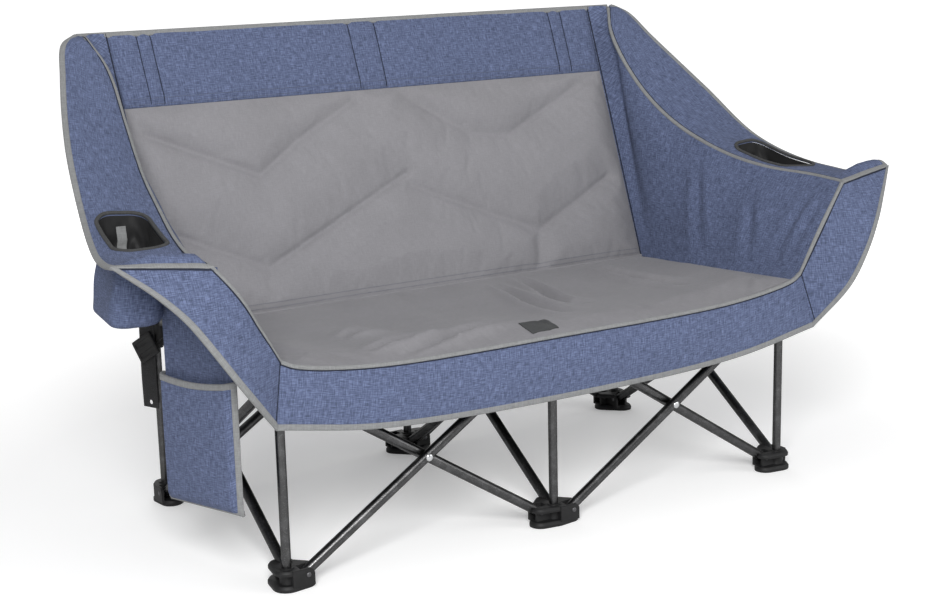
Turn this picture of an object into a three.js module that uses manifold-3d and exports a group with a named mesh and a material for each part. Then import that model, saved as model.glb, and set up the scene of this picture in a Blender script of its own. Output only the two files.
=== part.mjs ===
// Folding camping loveseat: two seats on a six-foot scissor frame.
// Millimetres, +Z up, front towards -Y, origin under the middle of the front centre foot.
import * as THREE from 'three';
import { mergeVertices } from 'three/addons/utils/BufferGeometryUtils.js';
import { ConvexGeometry } from 'three/addons/geometries/ConvexGeometry.js';
import Module from 'manifold-3d';

const wasm = await Module();
wasm.setup();

// Frame: spacing of the feet, hinge heights and tube sizes
const FOOT_SPACING = 520; // neighbouring feet, across and front to rear
const PIN_REACH = 28; // hinge pin from the axis of its post
const FOOT_PIN_Z = 24;
const HUB_PIN_Z = 325;
const TUBE_R = 9;
const TUBE_GAP = 0.8; // between the two tubes of a crossing
const TUBE_END = 9; // tube past its hinge pin
const PIN_R = 4;
const RIVET_R = 3;
const RIVET_HEAD_R = 6.5;
const RIVET_HEAD = 2.6;
const POST_R = 8;
const POST_WALL = 1.5;
const POST_CAP = 3; // closed top of a front post
const FIT = 0.3; // clearance of pieces that seat or slide on each other

// Feet and hubs
const FOOT_LOBE_R = 20; // base lobe under each hinge
const FOOT_HEEL_R = 24; // base lobe under the post
const FOOT_BASE = 11; // base plate height
const FOOT_FLARE = 3; // base edge past its top
const COLLAR_R = 13;
const FOOT_COLLAR_TOP = 36;
const FOOT_FLANGE_Z = 26.5; // upper flange, above the base
const FOOT_FLANGE = 8;
const FOOT_FLANGE_IN = 1.5; // flange edge inside the base edge
const ROD_SEAT_Z = 8; // rod socket floor in the foot
const ROD_SHORT = 5; // rod end below the top of the front post
const YOKE_R = 11; // rounded yoke end about the pin
const YOKE_CHEEK = 5;
const HUB_COLLAR = 28; // collar height of a hub
const HUB_DROP = 4; // collar top below the hub pin
const HUB_ROOF = 2; // web over the tube ends

// Arms and back of the frame
const ARM_STRAIGHT = 26; // arm tube past the hub pin before its bend
const ARM_TUBE_OUT = 215; // arm tube end past the outer post
const ARM_TUBE_DROP = 4.6; // arm tube axis end below the arm panel height
const UPRIGHT_OUT = 28; // top of an outer upright past its foot
const UPRIGHT_TOP_DROP = 12; // upright end below the top edge of the back

// Soft goods: edges of the seat, back, arms and band
const SEAT_CORNER_IN = 12; // front seat corner inside the post
const SEAT_FRONT_Y = -46;
const SEAT_CORNER_Z = 379;
const SEAT_FRONT_Z = 354;
const SEAT_REAR_IN = 97; // rear seat seam ahead of the rear posts
const SEAT_REAR_Z = 348;
const SEAT_SAG = 12;
const SEAT_PAD = 8;
const SEAT_EDGE = 4.8; // seat pad inside the piping line
const SEAT_CREASE = 0.5; // share of the seat depth where it folds
const BACK_Z = 857;
const BACK_LEAN = 210; // top edge behind the seat seam
const BACK_TOP_OUT = 12;
const BACK_PAD = 10;
const BACK_CHANNEL = 5; // depth of the sewn chevrons
const BACK_CHANNEL_W = 26;
const BAND_SEAM_Z = 728; // seam of the top band
const ARM_Z = 552;
const CLOTH = 3.2;
const PANEL_EDGE = 5; // inner arm panel behind the front piping line
const BAND_Z = 246; // band hem at the middle
const BAND_CORNER_Z = 287;
const BAND_SWELL = 9;
const ARM_ROLL = 13; // rolled front of an arm panel, over the end of its tube
const ARM_ROLL_AT = 22; // behind the front edge
const ARM_DIP = 8; // sag behind the roll
const ARM_DIP_AT = 80;
const CUP_OUT = 152; // cup opening past the outer post
const CUP_Y = 188;
const CUP_W = 82;
const CUP_L = 158;
const CUP_CORNER_R = 30;
const CUP_TURN = 7; // degrees, in line with the arm
const POUCH_EDGE = 3; // pouch wall past the cup opening
const POUCH_DEPTH = 118;
const POUCH_ROUND = 22;
const POUCH_LEAN = 18; // pouch floor further out than the cup opening
const POUCH_TOP = 50; // pouch walls before they are trimmed to the arm
const POCKET_W = 190;
const POCKET_H = 214;
const POCKET_GAP = 14; // room between pocket and backing
const POCKET_OUT = 70; // pocket front edge past the outer post
const POCKET_SWING = 45; // further out at its rear edge
const POCKET_DROP = 14; // lower at its rear edge
const POCKET_Y = -6;
const POCKET_Z = 140;
const BACKING_START = 32; // backing above the pocket starts behind the arm tube
const STRAP_W = 38;
const STRAP_T = 2.4;
const STRAP_LOOP_Z = 372;
const STRAP_LOOP = 30;
const STRAP_DROP = 190; // tail length below the loop
const STRAP_AZIMUTH = 205; // degrees from +X that the strap hangs towards
const BUCKLE = { width: 54, height: 44, thick: 6, below: 52, tilt: 32 };

// Colours and finishes
const FINISH = {
  steel: { color: 0x2c2d30, roughness: 0.35, metalness: 0.75 },
  plastic: { color: 0x1d1e20, roughness: 0.55, metalness: 0 },
  rivet: { color: 0xc4c7ca, roughness: 0.3, metalness: 1 },
  blue: { color: 0x65749e, roughness: 0.9, metalness: 0 },
  grey: { color: 0x8d8c92, roughness: 0.85, metalness: 0 },
  webbing: { color: 0x1a1a1b, roughness: 0.8, metalness: 0 },
};

// Values that follow from the sizes above
const HALF = FOOT_SPACING;
const DEPTH = FOOT_SPACING;
const TUBE_SIDE = TUBE_R + TUBE_GAP / 2; // tube axis beside the plane of its posts
const TUBE_CORNER = Math.hypot(TUBE_END, TUBE_R) + FIT; // swept reach of a tube end
const ROD_R = POST_R - POST_WALL - FIT;
const HUB_TOP = HUB_PIN_Z - HUB_DROP;
const HUB_ROOF_Z = HUB_PIN_Z + TUBE_CORNER + HUB_ROOF;
const SPAN = FOOT_SPACING - 2 * PIN_REACH;
const RISE = HUB_PIN_Z - FOOT_PIN_Z;
const SEAT_REAR_Y = DEPTH - SEAT_REAR_IN;
const V3 = (x, y, z) => new THREE.Vector3(x, y, z);

const POSTS = {
  front_left: [-1, 0], front_centre: [0, 0], front_right: [1, 0],
  rear_left: [-1, 1], rear_centre: [0, 1], rear_right: [1, 1],
};
// Each crossing: foot and hub of its first tube, then the side of that tube (+1 towards +X or +Y)
const CROSSINGS = {
  front_left: ['front_centre', 'front_left', 1],
  front_right: ['front_centre', 'front_right', -1],
  left_side: ['front_left', 'rear_left', 1],
  right_side: ['front_right', 'rear_right', 1],
  centre: ['front_centre', 'rear_centre', 1],
  rear_left: ['rear_centre', 'rear_left', 1],
  rear_right: ['rear_centre', 'rear_right', -1],
};
const ARM_CROSSINGS = ['front_left', 'front_right'];

const model = new THREE.Group();

function addMesh(name, geometry, finish) {
  const mesh = new THREE.Mesh(geometry, new THREE.MeshStandardMaterial(FINISH[finish]));
  mesh.name = name;
  model.add(mesh);
}

// Closed geometry to a solid and back
function solid(geometry) {
  const bare = geometry.index ? geometry.toNonIndexed() : geometry.clone();
  bare.deleteAttribute('normal');
  bare.deleteAttribute('uv');
  const merged = mergeVertices(bare, 1e-4);
  const vertProperties = Float32Array.from(merged.attributes.position.array);
  const triVerts = Uint32Array.from(merged.index.array);
  return new wasm.Manifold(new wasm.Mesh({ numProp: 3, vertProperties, triVerts }));
}

function geometryOf(manifold) {
  const mesh = manifold.getMesh();
  const geometry = new THREE.BufferGeometry();
  geometry.setAttribute('position', new THREE.BufferAttribute(Float32Array.from(mesh.vertProperties), 3));
  geometry.setIndex(new THREE.BufferAttribute(Uint32Array.from(mesh.triVerts), 1));
  return geometry;
}

// Rod between two points
function rod(from, to, radius, sides) {
  const axis = to.clone().sub(from);
  const geometry = new THREE.CylinderGeometry(radius, radius, axis.length(), sides);
  geometry.applyQuaternion(new THREE.Quaternion().setFromUnitVectors(V3(0, 1, 0), axis.clone().normalize()));
  const middle = from.clone().add(to).multiplyScalar(0.5);
  return geometry.translate(middle.x, middle.y, middle.z);
}

function boxBetween(low, high) {
  const geometry = new THREE.BoxGeometry(high.x - low.x, high.y - low.y, high.z - low.z);
  return geometry.translate((low.x + high.x) / 2, (low.y + high.y) / 2, (low.z + high.z) / 2);
}

function circle(radius, sides) {
  const points = [];
  for (let i = 0; i < sides; i += 1) {
    const angle = (2 * Math.PI * i) / sides;
    points.push(new THREE.Vector2(radius * Math.cos(angle), radius * Math.sin(angle)));
  }
  return new THREE.Shape(points);
}

// Path with a ring of the tube at each of its stations only
class StationPath extends THREE.Curve {
  constructor(stations) {
    super();
    this.stations = stations;
  }

  getPoint(t) {
    const place = t * (this.stations.length - 1);
    const low = Math.min(Math.max(Math.floor(place), 0), this.stations.length - 2);
    return this.stations[low].clone().lerp(this.stations[low + 1], place - low);
  }

  getPointAt(t) {
    return this.getPoint(t);
  }

  getTangentAt(t) {
    return this.getTangent(t);
  }
}

// Tube along a path with one bend
function bentTube(start, corner, end, bend, radius, sides) {
  const before = corner.clone().add(start.clone().sub(corner).setLength(bend));
  const after = corner.clone().add(end.clone().sub(corner).setLength(bend));
  const arc = new THREE.QuadraticBezierCurve3(before, corner, after);
  const stations = [start, ...arc.getPoints(BEND_STEPS), end];
  const extrudePath = new StationPath(stations);
  return new THREE.ExtrudeGeometry(circle(radius, sides), { steps: stations.length - 1, extrudePath });
}

const BEND_STEPS = 4;
const postAxis = (name) => V3(POSTS[name][0] * HALF, POSTS[name][1] * DEPTH, 0);

// The two tubes of a crossing, each from its foot pin to its hub pin
function crossTubes(name) {
  const [first, second, side] = CROSSINGS[name];
  return [[first, second, side], [second, first, -side]].map(([foot, hub, s], i) => {
    const along = postAxis(hub).sub(postAxis(foot)).normalize();
    const across = V3(Math.abs(along.y), Math.abs(along.x), 0);
    const offset = across.clone().multiplyScalar(s * TUBE_SIDE);
    const low = postAxis(foot).addScaledVector(along, PIN_REACH).add(offset).setZ(FOOT_PIN_Z);
    const high = postAxis(hub).addScaledVector(along, -PIN_REACH).add(offset).setZ(HUB_PIN_Z);
    return { name, foot, hub, side: s, along, across, low, high, arm: i === 0 && ARM_CROSSINGS.includes(name) };
  });
}
const TUBES = Object.keys(CROSSINGS).flatMap(crossTubes);

// Cross tubes with their pin and rivet holes. An arm tube runs on past its hub and bends up.
const TUBE_SIDES = 12;
const HOLE_SIDES = 10;
const ARM_BEND = 24;
function tubeGeometry(tube) {
  const slope = tube.high.clone().sub(tube.low).normalize();
  const start = tube.low.clone().addScaledVector(slope, -TUBE_END);
  let body;
  if (tube.arm) {
    const corner = tube.high.clone().addScaledVector(slope, ARM_STRAIGHT + ARM_BEND);
    const end = V3(tube.along.x * (HALF + ARM_TUBE_OUT), tube.high.y, ARM_Z - ARM_TUBE_DROP);
    body = bentTube(start, corner, end, ARM_BEND, TUBE_R, TUBE_SIDES);
  } else {
    body = rod(start, tube.high.clone().addScaledVector(slope, TUBE_END), TUBE_R, TUBE_SIDES);
  }
  const middle = tube.low.clone().lerp(tube.high, 0.5);
  let shape = solid(body);
  for (const [point, radius] of [[tube.low, PIN_R], [tube.high, PIN_R], [middle, RIVET_R]]) {
    const reach = tube.across.clone().multiplyScalar(2 * TUBE_R);
    const hole = rod(point.clone().sub(reach), point.clone().add(reach), radius + FIT, HOLE_SIDES);
    shape = shape.subtract(solid(hole));
  }
  return geometryOf(shape);
}

// Rivet through a crossing, domed on both ends
function rivetGeometry(name) {
  const [tube] = crossTubes(name);
  const half = TUBE_SIDE + TUBE_R + FIT;
  const profile = [
    [0, -half - RIVET_HEAD], [RIVET_HEAD_R * 0.6, -half - RIVET_HEAD * 0.8], [RIVET_HEAD_R, -half],
    [RIVET_R, -half], [RIVET_R, half],
    [RIVET_HEAD_R, half], [RIVET_HEAD_R * 0.6, half + RIVET_HEAD * 0.8], [0, half + RIVET_HEAD],
  ].map(([r, h]) => new THREE.Vector2(r, h));
  const geometry = new THREE.LatheGeometry(profile, HOLE_SIDES);
  geometry.applyQuaternion(new THREE.Quaternion().setFromUnitVectors(V3(0, 1, 0), tube.across));
  const middle = tube.low.clone().lerp(tube.high, 0.5).addScaledVector(tube.across, -tube.side * TUBE_SIDE);
  return geometry.translate(middle.x, middle.y, middle.z);
}

// Hinge yoke of a foot or hub: two cheeks and a pin about a tube end, in the frame of its post
function yoke(tube, atHub) {
  const turn = Math.atan2(tube.along.y, tube.along.x) + (atHub ? Math.PI : 0);
  const left = V3(-Math.sin(turn), Math.cos(turn), 0);
  const offset = tube.side * TUBE_SIDE * left.dot(tube.across);
  const pinZ = atHub ? HUB_PIN_Z : FOOT_PIN_Z;
  const slot = TUBE_R + FIT;
  const width = 2 * (slot + YOKE_CHEEK);
  const side = new THREE.Shape();
  if (atHub) {
    side.moveTo(0, HUB_TOP - HUB_COLLAR);
    side.lineTo(PIN_REACH, pinZ - YOKE_R);
    side.absarc(PIN_REACH, pinZ, YOKE_R, -Math.PI / 2, 0);
    side.lineTo(PIN_REACH + YOKE_R, HUB_ROOF_Z);
    side.lineTo(0, HUB_ROOF_Z);
  } else {
    side.moveTo(0, FOOT_BASE / 2);
    side.lineTo(PIN_REACH + YOKE_R, FOOT_BASE / 2);
    side.absarc(PIN_REACH, pinZ, YOKE_R, 0, Math.PI / 2);
    side.lineTo(0, pinZ + YOKE_R);
  }
  const block = new THREE.ExtrudeGeometry(side, { depth: width, bevelEnabled: false, curveSegments: 3 });
  block.rotateX(Math.PI / 2).translate(0, offset + width / 2, 0);
  const far = 4 * PIN_REACH;
  const slotLow = V3(PIN_REACH - TUBE_CORNER, offset - slot, atHub ? pinZ - far : FOOT_BASE);
  const slotHigh = V3(far, offset + slot, atHub ? pinZ + TUBE_CORNER : pinZ + far);
  const shape = solid(block).subtract(solid(boxBetween(slotLow, slotHigh)));
  return solid(geometryOf(shape).rotateZ(turn));
}

function hingePin(tube, atHub) {
  const centre = (atHub ? tube.high : tube.low).clone().sub(postAxis(atHub ? tube.hub : tube.foot));
  const reach = tube.across.clone().multiplyScalar(TUBE_R + FIT + YOKE_CHEEK / 2);
  return solid(rod(centre.clone().sub(reach), centre.clone().add(reach), PIN_R, HOLE_SIDES));
}

// Way through a hub for the arm tube, which rises over the collar
function armPassage(tube) {
  const slot = TUBE_R + FIT;
  const far = 4 * PIN_REACH;
  const passage = boxBetween(V3(-far, -slot, -slot), V3(far, slot, far));
  passage.rotateY(tube.along.x * -Math.atan2(RISE, SPAN));
  return solid(passage.translate(-tube.along.x * PIN_REACH, tube.side * TUBE_SIDE, HUB_PIN_Z));
}

// Moulded foot: flared base with a lobe under each hinge, collar with the rod socket, yokes
const LOBE_SIDES = 10;
const COLLAR_SIDES = 12;
// Upper flange of a foot, open where its tubes swing up
function footFlange(lobes, tubes) {
  const outline = [];
  for (const [centre, radius] of lobes) {
    for (let i = 0; i < LOBE_SIDES; i += 1) {
      const angle = (2 * Math.PI * i) / LOBE_SIDES;
      const edge = centre.clone().addScaledVector(V3(Math.cos(angle), Math.sin(angle), 0), radius - FOOT_FLANGE_IN);
      outline.push(edge.clone().setZ(FOOT_FLANGE_Z), edge.clone().setZ(FOOT_FLANGE_Z + FOOT_FLANGE));
    }
  }
  let plate = solid(new ConvexGeometry(outline));
  for (const tube of tubes) {
    const turn = Math.atan2(tube.along.y, tube.along.x);
    const offset = tube.side * TUBE_SIDE * V3(-Math.sin(turn), Math.cos(turn), 0).dot(tube.across);
    const slot = TUBE_R + FIT;
    const low = V3(PIN_REACH - TUBE_CORNER, offset - slot, 0);
    const gap = boxBetween(low, V3(4 * PIN_REACH, offset + slot, 4 * PIN_REACH)).rotateZ(turn);
    plate = plate.subtract(solid(gap));
  }
  return plate;
}

function footGeometry(name) {
  const tubes = TUBES.filter((tube) => tube.foot === name);
  const outline = [];
  const toes = tubes.map((tube) => [tube.along.clone().multiplyScalar(PIN_REACH), FOOT_LOBE_R]);
  const lobes = [[V3(0, 0, 0), FOOT_HEEL_R], ...toes];
  for (const [centre, radius] of lobes) {
    for (let i = 0; i < LOBE_SIDES; i += 1) {
      const angle = (2 * Math.PI * i) / LOBE_SIDES;
      const ray = V3(Math.cos(angle), Math.sin(angle), 0);
      outline.push(centre.clone().addScaledVector(ray, radius).setZ(0));
      outline.push(centre.clone().addScaledVector(ray, radius).setZ(FOOT_BASE * 0.45));
      outline.push(centre.clone().addScaledVector(ray, radius - FOOT_FLARE).setZ(FOOT_BASE));
    }
  }
  let shape = solid(new ConvexGeometry(outline)).add(footFlange(lobes, tubes));
  shape = shape.add(solid(rod(V3(0, 0, FOOT_BASE / 2), V3(0, 0, FOOT_COLLAR_TOP), COLLAR_R, COLLAR_SIDES)));
  for (const tube of tubes) shape = shape.add(yoke(tube, false)).add(hingePin(tube, false));
  const socket = rod(V3(0, 0, ROD_SEAT_Z), V3(0, 0, FOOT_COLLAR_TOP + 1), ROD_R + FIT, COLLAR_SIDES);
  const axis = postAxis(name);
  return geometryOf(shape.subtract(solid(socket))).translate(axis.x, axis.y, 0);
}

// Moulded hub on its post
function hubGeometry(name) {
  let shape = solid(rod(V3(0, 0, HUB_TOP - HUB_COLLAR), V3(0, 0, HUB_TOP), COLLAR_R, COLLAR_SIDES));
  const tubes = TUBES.filter((tube) => tube.hub === name);
  for (const tube of tubes) shape = shape.add(yoke(tube, true));
  for (const tube of tubes.filter((t) => t.arm)) shape = shape.subtract(armPassage(tube));
  for (const tube of tubes) shape = shape.add(hingePin(tube, true));
  const front = POSTS[name][1] === 0;
  const boreTop = front ? HUB_TOP + FIT : HUB_ROOF_Z + 1;
  const bore = rod(V3(0, 0, HUB_TOP - HUB_COLLAR - 1), V3(0, 0, boreTop), POST_R + FIT, COLLAR_SIDES);
  const axis = postAxis(name);
  return geometryOf(shape.subtract(solid(bore))).translate(axis.x, axis.y, 0);
}

function rodGeometry(name) {
  const axis = postAxis(name);
  return rod(axis.clone().setZ(ROD_SEAT_Z + FIT), axis.clone().setZ(HUB_TOP - ROD_SHORT), ROD_R, COLLAR_SIDES);
}

// Short front post, open below, closed on top
function frontPostGeometry(name) {
  const low = FOOT_COLLAR_TOP + FIT;
  const bore = POST_R - POST_WALL;
  const profile = [
    [bore, low], [POST_R, low], [POST_R, HUB_TOP], [0, HUB_TOP], [0, HUB_TOP - POST_CAP], [bore, HUB_TOP - POST_CAP],
    [bore, low],
  ].map(([r, h]) => new THREE.Vector2(r, h));
  const axis = postAxis(name);
  return new THREE.LatheGeometry(profile, COLLAR_SIDES).rotateX(Math.PI / 2).translate(axis.x, axis.y, 0);
}

// Panels of cloth: a surface of two parameters, its visible face towards Pu x Pv
const mix = (a, b, t) => a.clone().lerp(b, t);
const curve = (points) => {
  const spline = new THREE.CatmullRomCurve3(points, false, 'centripetal');
  const length = spline.getLength();
  return (t) => {
    const held = Math.min(Math.max(t, 0), 1);
    const point = spline.getPointAt(held);
    return held === t ? point : point.addScaledVector(spline.getTangentAt(held), (t - held) * length);
  };
};
const line = (from, to) => (t) => mix(from, to, t);

function coons(bottom, top, left, right) {
  const corner = [bottom(0), bottom(1), top(0), top(1)];
  return (u, v) => {
    const ruled = mix(bottom(u), top(u), v).add(mix(left(v), right(v), u));
    return ruled.sub(mix(mix(corner[0], corner[1], u), mix(corner[2], corner[3], u), v));
  };
}

function runLength(path) {
  let total = 0;
  for (let i = 0; i < 24; i += 1) total += path(i / 24).distanceTo(path((i + 1) / 24));
  return total;
}

// The same surface stopped short of its edges, in millimetres
function inset(surface, { left = 0, right = 0, bottom = 0, top = 0 }) {
  const stations = 24;
  const table = (length) => {
    const values = [];
    for (let i = 0; i <= stations; i += 1) values.push(length(i / stations));
    return (t) => {
      const low = Math.min(Math.floor(t * stations), stations - 1);
      return THREE.MathUtils.lerp(values[low], values[low + 1], t * stations - low);
    };
  };
  const across = table((v) => runLength((t) => surface(t, v)));
  const up = table((u) => runLength((t) => surface(u, t)));
  return (u, v) => {
    const s = (left + u * (across(v) - left - right)) / across(v);
    return surface(s, (bottom + v * (up(s) - bottom - top)) / up(s));
  };
}

const mirrored = (surface) => (u, v) => surface(1 - u, v).multiply(V3(-1, 1, 1));

function normalAt(surface, u, v) {
  const step = 1e-3;
  const du = surface(Math.min(u + step, 1), v).sub(surface(Math.max(u - step, 0), v));
  const dv = surface(u, Math.min(v + step, 1)).sub(surface(u, Math.max(v - step, 0)));
  return du.cross(dv).normalize();
}

// Closed sheet from lift above the surface down to depth below it
function sheet(surface, nu, nv, lift, depth) {
  const position = [];
  const index = [];
  const at = (i, j, layer) => layer * (nu + 1) * (nv + 1) + j * (nu + 1) + i;
  for (const layer of [0, 1]) {
    for (let j = 0; j <= nv; j += 1) {
      for (let i = 0; i <= nu; i += 1) {
        const u = i / nu;
        const v = j / nv;
        const rise = layer === 0 ? lift(u, v) : -depth;
        const point = surface(u, v).addScaledVector(normalAt(surface, u, v), rise);
        position.push(point.x, point.y, point.z);
      }
    }
  }
  const quad = (a, b, c, d) => index.push(a, b, c, a, c, d);
  for (let j = 0; j < nv; j += 1) {
    for (let i = 0; i < nu; i += 1) {
      quad(at(i, j, 0), at(i + 1, j, 0), at(i + 1, j + 1, 0), at(i, j + 1, 0));
      quad(at(i, j, 1), at(i, j + 1, 1), at(i + 1, j + 1, 1), at(i + 1, j, 1));
    }
  }
  for (let i = 0; i < nu; i += 1) {
    quad(at(i, 0, 0), at(i, 0, 1), at(i + 1, 0, 1), at(i + 1, 0, 0));
    quad(at(i, nv, 0), at(i + 1, nv, 0), at(i + 1, nv, 1), at(i, nv, 1));
  }
  for (let j = 0; j < nv; j += 1) {
    quad(at(0, j, 0), at(0, j + 1, 0), at(0, j + 1, 1), at(0, j, 1));
    quad(at(nu, j, 0), at(nu, j, 1), at(nu, j + 1, 1), at(nu, j + 1, 0));
  }
  const geometry = new THREE.BufferGeometry();
  geometry.setAttribute('position', new THREE.Float32BufferAttribute(position, 3));
  geometry.setIndex(index);
  return geometry;
}
const flat = () => 0;

// Edge curves of the right half. Arm points: out past the post, share of the depth, share of the rise to the back.
const armPoint = ([out, along, rise]) => V3(HALF + out, along * DEPTH, ARM_Z + rise * (BACK_Z - ARM_Z));
const ARM_OUTER = [
  [260, -0.027, 0.033], [247, 0.115, 0], [230, 0.288, 0], [199, 0.562, 0.144], [170, 0.817, 0.452],
  [128, 1.063, 0.787], [103, 1.173, 0.957], [74, 1.213, 1],
].map(armPoint);
const ARM_INNER = [
  [113, -0.081, -0.01], [113, 0.077, 0.003], [92, 0.288, 0.023], [70, 0.5, 0.095], [50, 0.76, 0.27],
  [37, 0.942, 0.5], [35, 1.102, 0.807], [57, 1.185, 0.99],
].map(armPoint);
// Wing points: out past the post, y, share of the rise from the seat corner to the arm
const wingPoint = ([out, y, rise]) => V3(HALF + out, y, SEAT_CORNER_Z + rise * (ARM_Z - SEAT_CORNER_Z));
const WING_INNER = [[11, -42, 0.06], [43, -43, 0.387], [75, -46, 0.705]].map(wingPoint).concat([ARM_INNER[0]]);
const WING_OUTER = [
  V3(HALF + 31, -60, BAND_CORNER_Z),
  ...[[92, -91, -0.1], [135, -91, 0.258], [171, -79, 0.566], [210, -53, 0.815]].map(wingPoint),
  ARM_OUTER[0],
];
const SEAT_CORNER = V3(HALF - SEAT_CORNER_IN, SEAT_FRONT_Y, SEAT_CORNER_Z);
const SEAT_REAR = V3(HALF - 2, SEAT_REAR_Y, SEAT_REAR_Z);
const BACK_TOP = V3(HALF + BACK_TOP_OUT, SEAT_REAR_Y + BACK_LEAN, BACK_Z);

const armOuter = curve(ARM_OUTER);
const armInner = curve(ARM_INNER);
const wingInner = curve(WING_INNER);
const wingOuter = curve(WING_OUTER);
const ARM_RUN = runLength(armOuter);
function armRoll(u, v) {
  const run = Math.max(v, 0) * ARM_RUN;
  const held = THREE.MathUtils.smoothstep(u, 0.2, 0.6);
  const roll = ARM_ROLL * Math.min(1, run / 10) * Math.exp(-(((run - ARM_ROLL_AT) / (0.7 * ARM_ROLL_AT)) ** 2));
  const dip = ARM_DIP * Math.min(1, run / 40) * Math.exp(-(((run - ARM_DIP_AT) / (0.5 * ARM_DIP_AT)) ** 2));
  return held * (roll - dip);
}
const armSurface = (u, v) => mix(armInner(v), armOuter(v), u).add(V3(0, 0, armRoll(u, v)));
const panelTop = curve([BACK_TOP, ...ARM_INNER.slice().reverse()]);
const panelFront = curve([SEAT_CORNER, ...WING_INNER]);
const panelBottom = curve([SEAT_REAR, mix(SEAT_REAR, SEAT_CORNER, 0.5).setZ(SEAT_REAR_Z + 3), SEAT_CORNER]);
const panelSurface = coons(panelBottom, panelTop, line(SEAT_REAR, BACK_TOP), panelFront);
const wingSurface = coons(line(WING_INNER[0], WING_OUTER[0]), line(ARM_INNER[0], ARM_OUTER[0]), wingInner, wingOuter);

// Seat, band and back run from left to right
const mirrorPoint = (p) => p.clone().multiply(V3(-1, 1, 1));
const acrossFrom = (points) => curve([...points.map(mirrorPoint), ...points.slice(0, -1).reverse()]);
const seatFrontEdge = acrossFrom([SEAT_CORNER, V3(HALF * 0.72, SEAT_FRONT_Y, SEAT_FRONT_Z + 5), V3(0, SEAT_FRONT_Y, SEAT_FRONT_Z)]);
const seatBase = (u, v) => mix(seatFrontEdge(u), line(mirrorPoint(SEAT_REAR), SEAT_REAR)(u), v);
const seatSurface = (u, v) => {
  const sag = SEAT_SAG * Math.sin(Math.PI * u) * Math.sin(Math.PI * v) ** 2;
  return seatBase(u, v).add(V3(0, 0, -sag));
};
const bandTop = acrossFrom([WING_INNER[0], SEAT_CORNER, V3(HALF * 0.72, SEAT_FRONT_Y, SEAT_FRONT_Z + 5), V3(0, SEAT_FRONT_Y, SEAT_FRONT_Z)]);
const bandHem = acrossFrom([WING_OUTER[0], V3(HALF * 0.7, -60, BAND_Z + 11), V3(0, -60, BAND_Z)]);
const bandSurface = (u, v) => mix(bandHem(u), bandTop(u), v).add(V3(0, -BAND_SWELL * Math.sin(Math.PI * v) * Math.sin(Math.PI * u) ** 0.5, 0));
const backSurface = (u, v) => mix(line(mirrorPoint(SEAT_REAR), SEAT_REAR)(u), line(mirrorPoint(BACK_TOP), BACK_TOP)(u), v);

// Sewn chevrons of the back: corners as x and z on each half, mirrored about the middle
const CHEVRONS = [
  [[480, 688], [270, 602], [62, 703]],
  [[457, 497], [300, 425], [0, 552]],
];
function distanceToLine(x, z, points) {
  let best = Infinity;
  for (let i = 0; i + 1 < points.length; i += 1) {
    const [ax, az] = points[i];
    const [bx, bz] = points[i + 1];
    const t = ((x - ax) * (bx - ax) + (z - az) * (bz - az)) / ((bx - ax) ** 2 + (bz - az) ** 2);
    const near = Math.min(Math.max(t, 0), 1);
    best = Math.min(best, Math.hypot(x - ax - near * (bx - ax), z - az - near * (bz - az)));
  }
  return best;
}
const crown = (u, v) => Math.min(1, 8 * u * (1 - u)) * Math.min(1, 6 * v * (1 - v));
function backLift(u, v) {
  const point = backSurface(u, v);
  const seams = CHEVRONS.map((points) => distanceToLine(Math.abs(point.x), point.z, points));
  const away = Math.min(...seams, 1.5 * Math.abs(point.z - BAND_SEAM_Z));
  return BACK_CHANNEL * crown(u, v) * (1 - Math.exp(-((away / BACK_CHANNEL_W) ** 2)));
}
const seatLift = (u, v) => BACK_CHANNEL * 0.6 * crown(u, v);

// Frame
for (const name of Object.keys(POSTS)) {
  addMesh(`${name}_foot`, footGeometry(name), 'plastic');
  addMesh(`${name}_rod`, rodGeometry(name), 'steel');
  addMesh(`${name}_hub`, hubGeometry(name), 'plastic');
}
for (const name of ['front_left', 'front_centre', 'front_right']) {
  addMesh(`${name}_post`, frontPostGeometry(name), 'steel');
}

// Rear uprights lean back just behind the back panel
const backSlope = V3(0, BACK_LEAN, BACK_Z - SEAT_REAR_Z).normalize();
const backRear = V3(0, backSlope.z, -backSlope.y);
const uprightLine = V3(0, SEAT_REAR_Y, SEAT_REAR_Z).addScaledVector(backRear, BACK_PAD + FIT + POST_R);
const UPRIGHT_BEND = 46;
for (const name of ['rear_left', 'rear_centre', 'rear_right']) {
  const axis = postAxis(name);
  const cornerZ = uprightLine.z + ((DEPTH - uprightLine.y) * backSlope.z) / backSlope.y;
  const corner = axis.clone().setZ(cornerZ);
  const topZ = BACK_Z - UPRIGHT_TOP_DROP;
  const topY = uprightLine.y + ((topZ - uprightLine.z) * backSlope.y) / backSlope.z;
  const top = V3(axis.x + Math.sign(axis.x) * UPRIGHT_OUT, topY, topZ);
  const start = axis.clone().setZ(FOOT_COLLAR_TOP + FIT);
  const tube = solid(bentTube(start, corner, top, UPRIGHT_BEND, POST_R, TUBE_SIDES));
  const bore = rod(axis.clone().setZ(0), axis.clone().setZ(HUB_TOP - POST_CAP), POST_R - POST_WALL, COLLAR_SIDES);
  addMesh(`${name}_upright`, geometryOf(tube.subtract(solid(bore))), 'steel');
}
for (const name of Object.keys(CROSSINGS)) {
  const [first, second] = crossTubes(name);
  addMesh(`${name}_${first.arm ? 'arm' : 'cross'}_tube`, tubeGeometry(first), 'steel');
  addMesh(`${name}_brace_tube`, tubeGeometry(second), 'steel');
  addMesh(`${name}_rivet`, rivetGeometry(name), 'rivet');
}

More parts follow.
